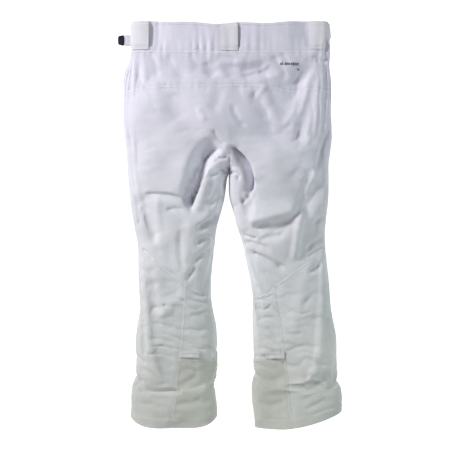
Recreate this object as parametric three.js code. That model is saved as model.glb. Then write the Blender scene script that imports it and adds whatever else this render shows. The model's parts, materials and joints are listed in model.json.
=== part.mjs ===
// Insulated ski pants, hanging by the waistband. Millimetres, +Z up, the wearer faces +Y and the
// wearer's left is -X. The origin is the middle of the waistband's top edge.
import * as THREE from 'three';

// Overall sizes, as drops below the waistband's top edge and half widths of the flat garment.
const LENGTH = 1005;
const WAISTBAND_HEIGHT = 72;
const HIP_DROP = 215;
const CROTCH_START = 270;
const CROTCH_WIDE = 305;
const CROTCH_DROP = 350;
const THIGH_DROP = 445;
const LOW_THIGH_DROP = 520;
const KNEE_DROP = 620;
const CALF_DROP = 820;
const WAIST_HALF = 248;
const HIP_HALF = 262;
const CROTCH_HALF = 256;
const THIGH_HALF = 116;
const LOW_THIGH_HALF = 103;
const KNEE_HALF = 90.5;
const CALF_HALF = 103;
const HEM_HALF = 107;
const GUSSET_HALF = 10;

// How far each leg's middle hangs from the centre plane: the right leg swings out a little.
const LEFT_SWING = { thigh: 131, lowThigh: 132, knee: 133.5, calf: 133.5, hem: 137 };
const RIGHT_SWING = { thigh: 119, lowThigh: 133, knee: 149, calf: 165, hem: 171 };

// Half depths from the side seams' plane to the back and to the front.
const WAIST_DEPTH = 32;
const HIP_BACK = 70;
const HIP_FRONT = 55;
const CROTCH_BACK = 78;
const CROTCH_FRONT = 64;
const THIGH_DEPTH = 62;
const KNEE_DEPTH = 53;
const CALF_DEPTH = 55;
const HEM_DEPTH = 50;
const ROUNDNESS = 0.8;

// Cloth thicknesses and the layers' depths inside the outer face.
const SHELL = 3.5;
const BAND_SHELL = 2;
const ELASTIC = 1.6;
const LINING = 1.5;
const LAYER_GAP = 0.8;
const POCKET_BAG_DEPTH = 5;
const POCKET_BAG = 2.2;
const LINING_DEPTH = 10;
const GAITER_DEPTH = 17;
const SEAM_GAP = 1.2;
const SIDE_SEAM = 0.008;
const TRIM_GAP = 0.4;

// Trims and hardware.
const FLY_LENGTH = 138;
const ZIP_WIDTH = 28;
const ZIP_TAPE = 1;
const CHAIN_WIDTH = 6;
const CHAIN_HEIGHT = 2.4;
const POCKET_ZIP_LENGTH = 150;
const POCKET_ZIP_WIDTH = 12;
const SLIDER_LENGTH = 12;
const SLIDER_WIDTH = 9;
const SLIDER_HEIGHT = 3.6;
const PULL_LENGTH = 30;
const PULL_WIDTH = 7;
const PULL_THICK = 1.8;
const LOOP_THICK = 1.8;
const LOOP_REACH = 7.6;
const LOOP_PAD = 8;
const CLIP_X = 185;
const CLIP_WIDTH = 24;
const FLAP_LENGTH = 58;
const FLAP_HINGE_X = 8;
const SNAP_RADIUS = 7;
const STUD_RADIUS = 5;
const SNAP_X = 36;
const TAB_LENGTH = 52;
const TAB_HEIGHT = 18;
const TAB_DROP = 831;
const ADJUSTER_HEIGHT = 28;
const ADJUSTER_DROP = 44;
const ADJUSTER_STRAP = 28;
const ADJUSTER_TIP = 15;
const KNEE_SEAM_OUTER = 565;
const KNEE_SEAM_INNER = 685;
const KICK_SEAM = 846;

// Where the long seam of each calf runs, as shares of the way from the side seam to the inseam.
const CALF_SEAM = {
  left: { knee: 0.613, hem: 0.478 },
  right: { knee: 0.658, hem: 0.536 },
};
const HEM_BAND = 26;

const WHITE = 0xd6d3e2;
const THIGH_WHITE = 0xd0cfd8;
const CALF_WHITE = 0xbfc4c4;
const GUARD_GREY = 0xabaea8;
const LINING_GREY = 0xc9c9cf;
const CREAM = 0xd8d5dc;
const NAVY = 0x1c1830;
const NICKEL = 0xb9bcc2;

// Half-width stations down the garment. outer and inner are distances from the centre plane.
function legStation(drop, half, swing, back, front) {
  return { drop, outer: swing + half, inner: swing - half, back, front };
}

function bodyStation(drop, half, inner, back, front) {
  return { drop, outer: half, inner, back, front };
}

function stations(swing) {
  return [
    bodyStation(0, WAIST_HALF, 0, WAIST_DEPTH, WAIST_DEPTH),
    bodyStation(WAISTBAND_HEIGHT, WAIST_HALF, 0, WAIST_DEPTH, WAIST_DEPTH),
    bodyStation(HIP_DROP, HIP_HALF, 0, HIP_BACK, HIP_FRONT),
    bodyStation(CROTCH_START, HIP_HALF, 0, CROTCH_BACK, CROTCH_FRONT),
    bodyStation(CROTCH_WIDE, CROTCH_HALF + 2, GUSSET_HALF, CROTCH_BACK, CROTCH_FRONT),
    bodyStation(CROTCH_DROP, CROTCH_HALF - 4, GUSSET_HALF, CROTCH_BACK - 3, CROTCH_FRONT),
    legStation(THIGH_DROP, THIGH_HALF, swing.thigh, THIGH_DEPTH + 4, THIGH_DEPTH),
    legStation(LOW_THIGH_DROP, LOW_THIGH_HALF, swing.lowThigh, THIGH_DEPTH - 2, THIGH_DEPTH - 4),
    legStation(KNEE_DROP, KNEE_HALF, swing.knee, KNEE_DEPTH, KNEE_DEPTH),
    legStation(CALF_DROP, CALF_HALF, swing.calf, CALF_DEPTH, CALF_DEPTH),
    legStation(LENGTH, HEM_HALF, swing.hem, HEM_DEPTH, HEM_DEPTH),
  ];
}

const LEFT = { sign: -1, rows: stations(LEFT_SWING) };
const RIGHT = { sign: 1, rows: stations(RIGHT_SWING) };
const BACK = { sign: -1, depth: 'back' };
const FRONT = { sign: 1, depth: 'front' };

function between(rows, drop) {
  let i = 1;
  while (i < rows.length - 1 && rows[i].drop < drop) i += 1;
  const above = rows[i - 1];
  const below = rows[i];
  const share = THREE.MathUtils.clamp((drop - above.drop) / (below.drop - above.drop), 0, 1);
  const mix = (key) => THREE.MathUtils.lerp(above[key], below[key], share);
  return { outer: mix('outer'), inner: mix('inner'), back: mix('back'), front: mix('front') };
}

// How far the two halves have closed into separate legs: 0 above the crotch curve, 1 below it.
function closing(drop) {
  const share = THREE.MathUtils.clamp((drop - CROTCH_START) / (CROTCH_DROP - CROTCH_START), 0, 1);
  return 1 - Math.sqrt(1 - share * share);
}

// The same away from the crotch curve, where the body rounds into the legs more slowly.
function rounding(drop) {
  return THREE.MathUtils.smoothstep(drop, HIP_DROP, THIGH_DROP);
}

// A point of the garment's skin. across runs from 0 at the side seam to 1 at the centre seam or
// inseam, and depth is how far inside the outer face the point lies.
function skin(side, face, across, drop, depth) {
  const row = between(side.rows, drop);
  const closed = THREE.MathUtils.lerp(rounding(drop), closing(drop), Math.pow(across, 4));
  const outer = row.outer - depth;
  const inner = row.inner + depth * closing(drop);
  const quarter = (across * Math.PI) / 2;
  const bodyX = THREE.MathUtils.lerp(outer, inner, 1 - Math.cos(quarter));
  const legX = THREE.MathUtils.lerp(outer, inner, (1 - Math.cos(across * Math.PI)) / 2);
  const bodyY = Math.pow(Math.sin(quarter), ROUNDNESS);
  const legY = Math.pow(Math.max(Math.sin(across * Math.PI), 0), ROUNDNESS);
  const x = side.sign * THREE.MathUtils.lerp(bodyX, legX, closed);
  const y = face.sign * (row[face.depth] - depth) * THREE.MathUtils.lerp(bodyY, legY, closed);
  return new THREE.Vector3(x, y, -drop);
}

// The value of across at which the waistband's face is x from the centre plane.
function acrossAt(x) {
  return (Math.acos(x / WAIST_HALF) * 2) / Math.PI;
}

function evenly(from, to, count) {
  return Array.from({ length: count + 1 }, (_, i) => from + ((to - from) * i) / count);
}

// Joins closed outlines, each a list of points, into one closed body. A ring has no end caps.
function sweep(outlines, ring = false) {
  const corners = outlines[0].length;
  const points = outlines.flat();
  const faces = [];
  const spans = ring ? outlines.length : outlines.length - 1;
  for (let i = 0; i < spans; i += 1) {
    const here = i * corners;
    const next = ((i + 1) % outlines.length) * corners;
    for (let j = 0; j < corners; j += 1) {
      const k = (j + 1) % corners;
      faces.push(here + j, next + j, next + k, here + j, next + k, here + k);
    }
  }
  if (!ring) {
    addCap(outlines, 0, faces, false);
    addCap(outlines, outlines.length - 1, faces, true);
  }
  return closedBody(points, faces);
}

// Closes one end. An outline runs down one face and back up the other, so its two halves pair up.
function addCap(outlines, index, faces, last) {
  const corners = outlines[index].length;
  const start = index * corners;
  for (let j = 0; j < corners / 2 - 1; j += 1) {
    const [a, b] = [start + j, start + j + 1];
    const [c, d] = [start + corners - 2 - j, start + corners - 1 - j];
    if (last) faces.push(a, c, b, a, d, c);
    else faces.push(a, b, c, a, c, d);
  }
}

function closedBody(points, faces) {
  let volume = 0;
  for (let i = 0; i < faces.length; i += 3) {
    const [a, b, c] = [points[faces[i]], points[faces[i + 1]], points[faces[i + 2]]];
    volume += a.dot(new THREE.Vector3().crossVectors(b, c));
  }
  if (volume < 0) {
    for (let i = 0; i < faces.length; i += 3) {
      [faces[i + 1], faces[i + 2]] = [faces[i + 2], faces[i + 1]];
    }
  }
  const geometry = new THREE.BufferGeometry().setFromPoints(points);
  geometry.setIndex(faces);
  geometry.computeVertexNormals();
  return geometry;
}

// A profile is two matching lists of [share of the height, depth]: the outer face and the inner.
function plain(outer, inner, rows) {
  const shares = evenly(0, 1, rows);
  return [shares.map((v) => [v, outer]), shares.map((v) => [v, inner])];
}

// The same with its rows at chosen drops, for a panel that runs from one drop to another.
function rowsAt(outer, inner, from, to, drops) {
  const inside = drops.filter((drop) => drop > from + 8 && drop < to - 8);
  const shares = [0, ...inside.map((drop) => (drop - from) / (to - from)), 1];
  return [shares.map((v) => [v, outer]), shares.map((v) => [v, inner])];
}

// A strap sewn down at both ends that stands off the skin between them.
function bridged(outer, height, reach) {
  const pad = LOOP_PAD / height;
  const rise = pad + 6 / height;
  const shares = [0, pad, rise, 1 - rise, 1 - pad, 1];
  const lift = [0, 0, reach, reach, 0, 0];
  return [
    shares.map((v, i) => [v, outer - lift[i] - LOOP_THICK]),
    shares.map((v, i) => [v, outer - lift[i]]),
  ];
}

const constant = (value) => () => value;

// A panel of cloth between two seams. stops run along it; each is { side, face, across }.
function panel(stops, top, bottom, profile, ring = false) {
  const [outer, inner] = profile;
  const outlines = stops.map(({ side, face, across }) => {
    const place = ([share, depth]) => {
      const first = typeof across === 'function' ? across(0) : across;
      let drop = THREE.MathUtils.lerp(top(first), bottom(first), share);
      const here = typeof across === 'function' ? across(drop) : across;
      drop = THREE.MathUtils.lerp(top(here), bottom(here), share);
      return skin(side, face, here, drop, depth);
    };
    return [...outer.map(place), ...inner.map(place).reverse()];
  });
  return sweep(outlines, ring);
}

// Stops on one side and face, from the value from(drop) to the value to(drop).
function halfStops(side, face, from, to, columns) {
  return evenly(0, 1, columns).map((share) => ({
    side,
    face,
    across: (drop) => THREE.MathUtils.lerp(from(drop), to(drop), share),
  }));
}

function fixedStops(side, face, values) {
  return values.map((across) => ({ side, face, across }));
}

// Stops across the whole back or front of the waist, from the left side seam to the right one.
function bothSides(face, values) {
  const left = fixedStops(LEFT, face, values);
  const right = fixedStops(RIGHT, face, values.slice(0, -1)).reverse();
  return [...left, ...right];
}

function ringStops(side, count) {
  const values = evenly(0, 1, count);
  return [
    ...fixedStops(side, BACK, values),
    ...fixedStops(side, FRONT, values.slice(1, -1)).reverse(),
  ];
}

function bodyRing(count) {
  const values = evenly(0, 1, count);
  const back = bothSides(BACK, values);
  const front = bothSides(FRONT, values).reverse().slice(1, -1);
  return [...back, ...front];
}

const group = new THREE.Group();
group.name = 'ski_pants';

function add(name, geometry, color, roughness = 0.9, metalness = 0) {
  const material = new THREE.MeshStandardMaterial({ color, roughness, metalness });
  const mesh = new THREE.Mesh(geometry, material);
  mesh.name = name;
  group.add(mesh);
  return mesh;
}

const SIDES = [
  ['left', LEFT],
  ['right', RIGHT],
];

// Waistband: outer cloth, elastic and facing at the back, two halves at the front.
const CLIP_STOPS = [acrossAt(CLIP_X + CLIP_WIDTH / 2), acrossAt(CLIP_X - CLIP_WIDTH / 2)];
const WAIST_STOPS = [SIDE_SEAM, 0.06, 0.11, 0.16, 0.22, 0.28, 0.34, ...CLIP_STOPS, 0.66, 0.84, 1];
const FRONT_STOPS = [0.06, 0.13, 0.21, 0.31, ...CLIP_STOPS, 0.62, 0.74, 0.84, 0.94];
const HALF_FLY = ZIP_WIDTH / 2 + SEAM_GAP;

function addWaistband() {
  const bandTop = constant(0);
  const bandBottom = constant(WAISTBAND_HEIGHT);
  const shell = plain(0, BAND_SHELL, 1);
  add('waistband_back', panel(bothSides(BACK, WAIST_STOPS), bandTop, bandBottom, shell), WHITE);
  for (const [name, side] of SIDES) {
    const stops = fixedStops(side, FRONT, [SIDE_SEAM, ...FRONT_STOPS, acrossAt(SEAM_GAP)]);
    add(`waistband_front_${name}`, panel(stops, bandTop, bandBottom, shell), WHITE);
  }
  const elasticTop = constant(6);
  const elasticBottom = constant(WAISTBAND_HEIGHT - 6);
  const elasticDepth = BAND_SHELL + LAYER_GAP;
  const elasticStops = bothSides(BACK, WAIST_STOPS.slice(1));
  const elastic = plain(elasticDepth, elasticDepth + ELASTIC, 1);
  add('waist_elastic_back', panel(elasticStops, elasticTop, elasticBottom, elastic), CREAM);
  const facingDepth = elasticDepth + ELASTIC + LAYER_GAP;
  const facing = plain(facingDepth, facingDepth + LINING, 1);
  add('waistband_facing_back', panel(elasticStops, constant(2), bandBottom, facing), LINING_GREY);
}

// Yoke and seat. The yoke's lower seam dips a little at the sides.
const YOKE_TOP = WAISTBAND_HEIGHT + SEAM_GAP;

function yokeSeam(across) {
  return 158 + 18 * Math.pow(1 - across, 2);
}

function kneeSeam(across) {
  const share = (1 - Math.cos(across * Math.PI)) / 2;
  return THREE.MathUtils.lerp(KNEE_SEAM_OUTER, KNEE_SEAM_INNER, share);
}

function frontKneeTop(across) {
  return THREE.MathUtils.lerp(545, 560, across);
}

function frontKneeBottom(across) {
  return THREE.MathUtils.lerp(715, 705, across);
}

const gapBelow = (seam) => (across) => seam(across) + SEAM_GAP;

// Centre edge of a panel above the crotch, and its inseam edge below.
function centreEdge(drop) {
  return drop < CROTCH_START ? 1 - 0.006 : 1 - SIDE_SEAM;
}

// The front panels leave room for the fly zip, then run together below it.
const FLY_END = YOKE_TOP + FLY_LENGTH;

function frontCentreEdge(drop) {
  const open = acrossAt(HALF_FLY + 1.5);
  const share = THREE.MathUtils.clamp((drop - FLY_END - 4) / 20, 0, 1);
  return THREE.MathUtils.lerp(open, centreEdge(drop), share);
}

// Rows close together where the crotch curve bends, and at the ends of the fly.
const CROTCH_TURN = CROTCH_DROP - CROTCH_START;
const CROTCH_ROWS = [0, 18, 36, 54, 72, 90].map(
  (degrees) => CROTCH_START + CROTCH_TURN * Math.sin(THREE.MathUtils.degToRad(degrees)),
);
const LEG_ROWS = [HIP_DROP, ...CROTCH_ROWS, 395, THIGH_DROP, 485, LOW_THIGH_DROP, 570];
const FLY_ROWS = [FLY_END + 3, FLY_END + 25];

function addBody() {
  const shell = plain(0, SHELL, 2);
  const yokeStops = bothSides(BACK, [SIDE_SEAM, 0.12, 0.26, 0.42, 0.58, 0.78, 1]);
  add('back_yoke', panel(yokeStops, constant(YOKE_TOP), yokeSeam, shell), WHITE);
  for (const [name, side] of SIDES) {
    const backStops = halfStops(side, BACK, constant(SIDE_SEAM), centreEdge, 12);
    const back = rowsAt(0, SHELL, yokeSeam(0.5), kneeSeam(0.5), LEG_ROWS);
    const seat = panel(backStops, gapBelow(yokeSeam), kneeSeam, back);
    add(`back_thigh_${name}`, seat, THIGH_WHITE);
    const frontStops = halfStops(side, FRONT, constant(SIDE_SEAM), frontCentreEdge, 8);
    const rows = [120, 165, ...FLY_ROWS, ...LEG_ROWS.slice(1)];
    const front = rowsAt(0, SHELL, YOKE_TOP, frontKneeTop(0.5), rows);
    const thigh = panel(frontStops, constant(YOKE_TOP), frontKneeTop, front);
    add(`front_thigh_${name}`, thigh, THIGH_WHITE);
  }
}

// The crotch gusset: a pointed saddle that closes the curve between the four thigh panels.
function addGusset() {
  const half = GUSSET_HALF - 0.6;
  const arc = evenly(-1, 1, 14).map((share) => {
    const face = share < 0 ? BACK : FRONT;
    const turn = (Math.abs(share) * Math.PI) / 2;
    const drop = CROTCH_START + 6 + (CROTCH_DROP - CROTCH_START - 6) * Math.cos(turn);
    return { face, drop };
  });
  const outlines = arc.map(({ face, drop }) => {
    const row = between(LEFT.rows, drop);
    const x = half * THREE.MathUtils.clamp((drop - CROTCH_START) / (CROTCH_WIDE - CROTCH_START), 0, 1);
    const y = (depth) => face.sign * (row[face.depth] - depth) * (1 - closing(drop));
    const lift = SHELL * closing(drop);
    const outer = [-x, x].map((px) => new THREE.Vector3(px, y(0), -drop));
    const inner = [x, -x].map((px) => new THREE.Vector3(px, y(SHELL), lift - drop));
    return [...outer, ...inner];
  });
  add('crotch_gusset', sweep(outlines), THIGH_WHITE);
}

// Lower legs: knee and shin panels in front, calf and kick panels behind, and the hem band.
function calfSeam(name, drop) {
  return THREE.MathUtils.mapLinear(drop, KNEE_SEAM_OUTER, LENGTH, CALF_SEAM[name].knee, CALF_SEAM[name].hem);
}

function addLowerLegs() {
  const hemTop = LENGTH - HEM_BAND;
  const legBottom = constant(hemTop - SEAM_GAP);
  const inseam = constant(1 - SIDE_SEAM);
  const sideSeam = constant(SIDE_SEAM);
  for (const [name, side] of SIDES) {
    const calfOuterEdge = (drop) => calfSeam(name, drop) - 0.004;
    const calfInnerEdge = (drop) => calfSeam(name, drop) + 0.004;
    const frontStops = halfStops(side, FRONT, sideSeam, inseam, 8);
    const knee = panel(frontStops, gapBelow(frontKneeTop), frontKneeBottom, plain(0, SHELL, 3));
    add(`knee_panel_${name}`, knee, CALF_WHITE);
    const shin = panel(frontStops, gapBelow(frontKneeBottom), legBottom, plain(0, SHELL, 5));
    add(`shin_panel_${name}`, shin, CALF_WHITE);
    const outerStops = halfStops(side, BACK, sideSeam, calfOuterEdge, 8);
    const outer = panel(outerStops, gapBelow(kneeSeam), legBottom, plain(0, SHELL, 7));
    add(`calf_outer_${name}`, outer, CALF_WHITE);
    const innerStops = halfStops(side, BACK, calfInnerEdge, inseam, 5);
    const inner = panel(innerStops, gapBelow(kneeSeam), constant(KICK_SEAM), plain(0, SHELL, 5));
    add(`calf_inner_${name}`, inner, CALF_WHITE);
    const kickTop = constant(KICK_SEAM + SEAM_GAP);
    const kick = panel(innerStops, kickTop, legBottom, plain(0, SHELL, 4));
    add(`kick_panel_${name}`, kick, GUARD_GREY, 0.7);
    const hem = panel(ringStops(side, 8), constant(hemTop), constant(LENGTH), plain(0, SHELL, 1), true);
    add(`hem_band_${name}`, hem, CALF_WHITE);
  }
}

// Inside: seat and leg linings, pocket bags, snow gaiters with their grip elastic.
function addInside() {
  const lining = (rows) => plain(LINING_DEPTH, LINING_DEPTH + LINING, rows);
  const seatTop = constant(YOKE_TOP + 4);
  const seatBottom = constant(CROTCH_START - 4);
  const seat = panel(bodyRing(8), seatTop, seatBottom, lining(3), true);
  add('seat_lining', seat, LINING_GREY);
  for (const [name, side] of SIDES) {
    const stops = ringStops(side, 6);
    const leg = panel(stops, constant(CROTCH_DROP + 4), constant(CALF_DROP - 18), lining(6), true);
    add(`leg_lining_${name}`, leg, LINING_GREY);
    const step = LINING_DEPTH + LINING + LAYER_GAP;
    const fall = [
      [0, step],
      [0.1, step],
      [0.25, GAITER_DEPTH],
      [1, GAITER_DEPTH],
    ];
    const gaiterProfile = [fall, fall.map(([v, depth]) => [v, depth + LINING])];
    const gaiterBottom = LENGTH - 46;
    const gaiter = panel(stops, constant(CALF_DROP - 40), constant(gaiterBottom), gaiterProfile, true);
    add(`snow_gaiter_${name}`, gaiter, LINING_GREY, 0.6);
    const gripTop = constant(gaiterBottom + SEAM_GAP);
    const gripBottom = constant(LENGTH - 18);
    const grip = plain(GAITER_DEPTH, GAITER_DEPTH + ELASTIC, 1);
    add(`gaiter_grip_${name}`, panel(stops, gripTop, gripBottom, grip, true), CREAM);
    const bagStops = fixedStops(side, FRONT, evenly(0.34, 0.66, 4));
    const bag = plain(POCKET_BAG_DEPTH, POCKET_BAG_DEPTH + POCKET_BAG, 3);
    add(`pocket_bag_${name}`, panel(bagStops, constant(100), constant(256), bag), LINING_GREY);
  }
  const shieldStops = bothSides(FRONT, [acrossAt(24), 1]);
  const shield = plain(POCKET_BAG_DEPTH, POCKET_BAG_DEPTH + LINING, 2);
  const shieldBottom = constant(FLY_END + 6);
  add('fly_shield', panel(shieldStops, constant(YOKE_TOP + 1), shieldBottom, shield), THIGH_WHITE);
}

// Elastic belt loops and the webbing loop: [name, side, face, far x, near x, top, height].
function addLoops() {
  const tall = WAISTBAND_HEIGHT - 2;
  const loops = [
    ['belt_loop_back_left', LEFT, BACK, 245, 202, 1, tall],
    ['belt_loop_back_right', RIGHT, BACK, 236, 198, 1, tall],
    ['belt_loop_front_left', LEFT, FRONT, 138, 100, 1, tall],
    ['belt_loop_front_right', RIGHT, FRONT, 138, 100, 1, tall],
    ['side_loop_right', RIGHT, BACK, 247.2, 240, 1, 48],
  ];
  const build = (stops, top, height) => {
    const profile = bridged(-TRIM_GAP, height, LOOP_REACH);
    return panel(stops, constant(top), constant(top + height), profile);
  };
  for (const [name, side, face, far, near, top, height] of loops) {
    const [from, to] = [acrossAt(far), acrossAt(near)];
    const band = face === BACK ? WAIST_STOPS : FRONT_STOPS;
    const shared = band.filter((stop) => stop > from && stop < to);
    const stops = fixedStops(side, face, [from, ...shared, to]);
    add(name, build(stops, top, height), CREAM);
  }
  const centreStops = bothSides(BACK, [acrossAt(22), 1]);
  add('belt_loop_back_centre', build(centreStops, 1, tall), CREAM);
}

// A frame at a point: x across, y out of the cloth, z up along the given direction.
function placed(mesh, origin, up, out) {
  const across = new THREE.Vector3().crossVectors(out, up).normalize();
  const square = new THREE.Vector3().crossVectors(up, across).normalize();
  const basis = new THREE.Matrix4().makeBasis(across, square, up);
  mesh.quaternion.setFromRotationMatrix(basis);
  mesh.position.copy(origin);
  return mesh;
}

function shapeOf(points) {
  return new THREE.Shape(points.map(([x, y]) => new THREE.Vector2(x, y)));
}

// Extrudes an outline drawn in x (across) and y (out) down along -z from the origin.
function drawnDown(points, length) {
  const geometry = new THREE.ExtrudeGeometry(shapeOf(points), { depth: length, bevelEnabled: false });
  geometry.translate(0, 0, -length);
  return geometry;
}

function zipOutline(width) {
  const tape = width / 2;
  const chain = CHAIN_WIDTH / 2;
  return [
    [-tape, 0],
    [tape, 0],
    [tape, ZIP_TAPE],
    [chain, ZIP_TAPE],
    [chain - 0.6, CHAIN_HEIGHT],
    [-chain + 0.6, CHAIN_HEIGHT],
    [-chain, ZIP_TAPE],
    [-tape, ZIP_TAPE],
  ];
}

// Stands a flat outline drawn in x and z up in the cloth's plane, with its thickness along +y.
function standing(outline, thickness) {
  const geometry = new THREE.ExtrudeGeometry(outline, { depth: thickness, bevelEnabled: false });
  geometry.rotateX(Math.PI / 2);
  geometry.translate(0, thickness, 0);
  return geometry;
}

// A slider body: a block with a wide upper end that narrows downwards, and a rib for the pull.
function sliderBody() {
  const half = SLIDER_WIDTH / 2;
  const outline = [
    [-half, 0],
    [half, 0],
    [half, -4],
    [half * 0.62, -SLIDER_LENGTH],
    [-half * 0.62, -SLIDER_LENGTH],
    [-half, -4],
  ];
  return standing(shapeOf(outline), SLIDER_HEIGHT - CHAIN_HEIGHT);
}

// A pull: a long tab that hangs down in front of the slider, with a hole at its lower end.
function pullTab() {
  const half = PULL_WIDTH / 2;
  const outline = shapeOf([
    [-half * 0.6, 0],
    [half * 0.6, 0],
    [half, -PULL_LENGTH * 0.3],
    [half, -PULL_LENGTH + 2],
    [half - 2, -PULL_LENGTH],
    [-half + 2, -PULL_LENGTH],
    [-half, -PULL_LENGTH + 2],
    [-half, -PULL_LENGTH * 0.3],
  ]);
  const turns = evenly(0, 2 * Math.PI, 8).slice(0, -1);
  const rim = turns.map((a) => new THREE.Vector2(1.8 * Math.cos(a), 6 - PULL_LENGTH + 1.8 * Math.sin(a)));
  outline.holes.push(new THREE.Path(rim));
  return standing(outline, PULL_THICK).translate(0, -PULL_THICK / 2, 0);
}

// A zip: tape with chain, its slider at the top and the pull on the slider.
function addZip(names, top, bottom, out, width) {
  const up = new THREE.Vector3().subVectors(top, bottom);
  const length = up.length();
  up.normalize();
  const across = new THREE.Vector3().crossVectors(out, up).normalize();
  const square = new THREE.Vector3().crossVectors(up, across).normalize();
  placed(add(names.zip, drawnDown(zipOutline(width), length), THIGH_WHITE), top, up, out);
  const start = top.clone().addScaledVector(up, -3);
  const sliderAt = start.clone().addScaledVector(square, CHAIN_HEIGHT + TRIM_GAP);
  placed(add(names.slider, sliderBody(), NICKEL, 0.35, 1), sliderAt, up, out);
  const pullHeight = SLIDER_HEIGHT + 2 * TRIM_GAP + PULL_THICK / 2;
  const pullAt = start.clone().addScaledVector(square, pullHeight);
  pullAt.addScaledVector(up, -2);
  placed(add(names.pull, pullTab(), NICKEL, 0.35, 1), pullAt, up, out);
}

function onSkin(side, face, across, drop, proud) {
  return skin(side, face, across, drop, -proud);
}

const POCKET_TOP = { across: 0.66, drop: 92 };
const POCKET_LOW = { across: 0.36, drop: 92 + 128 };
const POCKET_PROUD = 5.2;

function addZips() {
  const flyTop = onSkin(RIGHT, FRONT, 1, YOKE_TOP + 1, -BAND_SHELL);
  const flyLow = onSkin(RIGHT, FRONT, 1, FLY_END, -BAND_SHELL);
  const out = new THREE.Vector3(0, 1, 0);
  addZip({ zip: 'fly_zip', slider: 'fly_slider', pull: 'fly_pull' }, flyTop, flyLow, out, ZIP_WIDTH);
  for (const [name, side] of SIDES) {
    const top = onSkin(side, FRONT, POCKET_TOP.across, POCKET_TOP.drop, POCKET_PROUD);
    const low = onSkin(side, FRONT, POCKET_LOW.across, POCKET_LOW.drop, POCKET_PROUD);
    const reach = new THREE.Vector3().subVectors(low, top).setLength(POCKET_ZIP_LENGTH);
    const facing = new THREE.Vector3(side.sign * 0.3, 1, 0).normalize();
    const names = { zip: `pocket_zip_${name}`, slider: `pocket_slider_${name}`, pull: `pocket_pull_${name}` };
    addZip(names, top, top.clone().add(reach), facing, POCKET_ZIP_WIDTH);
  }
}

// Waist flap over the top of the fly, its press stud's cap, and the stud that it closes on.
function disc(radius, height) {
  const geometry = new THREE.CylinderGeometry(radius * 0.85, radius, height, 16);
  geometry.translate(0, height / 2, 0);
  return geometry;
}

const STUD_HEIGHT = 1.4;
const FLAP_PROUD = STUD_HEIGHT + 2 * TRIM_GAP;
const FLAP_THICK = 2.4;
const SNAP_DROP = WAISTBAND_HEIGHT / 2;

function addWaistFlap() {
  const seat = onSkin(LEFT, FRONT, acrossAt(SNAP_X), SNAP_DROP, TRIM_GAP).y;
  const stud = add('press_stud', disc(STUD_RADIUS, STUD_HEIGHT), NICKEL, 0.4, 1);
  stud.position.set(-SNAP_X, seat, -SNAP_DROP);
  const hinge = WAIST_DEPTH + FLAP_PROUD;
  const outline = shapeOf([
    [FLAP_HINGE_X, -3],
    [FLAP_HINGE_X, -WAISTBAND_HEIGHT + 3],
    [FLAP_HINGE_X - FLAP_LENGTH + 8, -WAISTBAND_HEIGHT + 3],
    [FLAP_HINGE_X - FLAP_LENGTH, -WAISTBAND_HEIGHT + 14],
    [FLAP_HINGE_X - FLAP_LENGTH, -14],
    [FLAP_HINGE_X - FLAP_LENGTH + 8, -3],
  ]);
  add('waist_flap', standing(outline, FLAP_THICK), WHITE).position.set(0, hinge, 0);
  const cap = add('press_stud_cap', disc(SNAP_RADIUS, 2), NICKEL, 0.4, 1);
  cap.position.set(-SNAP_X, hinge + FLAP_THICK + TRIM_GAP, -SNAP_DROP);
}

// Side adjusters: a strap sewn near each side seam that ends in a dark moulded tip.
const ADJUSTER_THICK = 2.6;
const ADJUSTER_ROOT_X = WAIST_HALF - 12;
const ADJUSTER_ROOT_Y = 17.5;
// The left strap stands out past the side; the right one lies forward along the front waistband.
const ADJUSTER_LEAN = { left: 9, right: -15 };

function plate(fromX, toX, topFrom, topTo, thick) {
  const outline = shapeOf([
    [fromX, topFrom],
    [fromX, -topFrom],
    [toX, -topTo],
    [toX, topTo],
  ]);
  return standing(outline, thick);
}

function addAdjusters() {
  const half = ADJUSTER_HEIGHT / 2;
  const strap = plate(0, -ADJUSTER_STRAP, half, half, ADJUSTER_THICK);
  const tipStart = ADJUSTER_STRAP + TRIM_GAP;
  const tip = plate(-tipStart, -tipStart - ADJUSTER_TIP, half, half - 4, ADJUSTER_THICK);
  for (const [name, side] of SIDES) {
    const strapMesh = add(`adjuster_strap_${name}`, strap.clone(), CREAM, 0.8);
    const tipMesh = add(`adjuster_tip_${name}`, tip.clone(), NAVY, 0.5);
    for (const mesh of [strapMesh, tipMesh]) {
      mesh.rotation.z = THREE.MathUtils.degToRad(ADJUSTER_LEAN[name]);
      mesh.position.set(side.sign * ADJUSTER_ROOT_X, ADJUSTER_ROOT_Y, -ADJUSTER_DROP);
    }
  }
}

// Cuff tabs: a short strap sewn into each calf seam, closing on a hook pad.
function addCuffTabs() {
  const top = constant(TAB_DROP);
  const bottom = constant(TAB_DROP + TAB_HEIGHT - 8);
  const reach = (TAB_LENGTH / (2 * CALF_HALF)) * (2 / Math.PI) * 1.12;
  for (const [name, side] of SIDES) {
    const start = calfSeam(name, TAB_DROP) - 0.015;
    const tabStops = fixedStops(side, BACK, evenly(start, start + reach, 4));
    const tab = panel(tabStops, constant(TAB_DROP - 8), bottom, plain(-4.2, -2, 1));
    add(`cuff_tab_${name}`, tab, CREAM);
    const padStops = fixedStops(side, BACK, evenly(start + reach * 0.4, start + reach * 0.95, 3));
    const pad = panel(padStops, constant(TAB_DROP - 6), constant(TAB_DROP + 8), plain(-1.5, -TRIM_GAP, 1));
    add(`cuff_hook_pad_${name}`, pad, GUARD_GREY);
  }
}

// The small printed mark on the yoke, a plain raised bar.
function addRearMark() {
  const stops = fixedStops(RIGHT, BACK, evenly(acrossAt(176), acrossAt(124), 3));
  add('rear_mark', panel(stops, constant(100), constant(110), plain(-0.9, -0.4, 1)), NAVY, 0.6);
}

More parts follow.
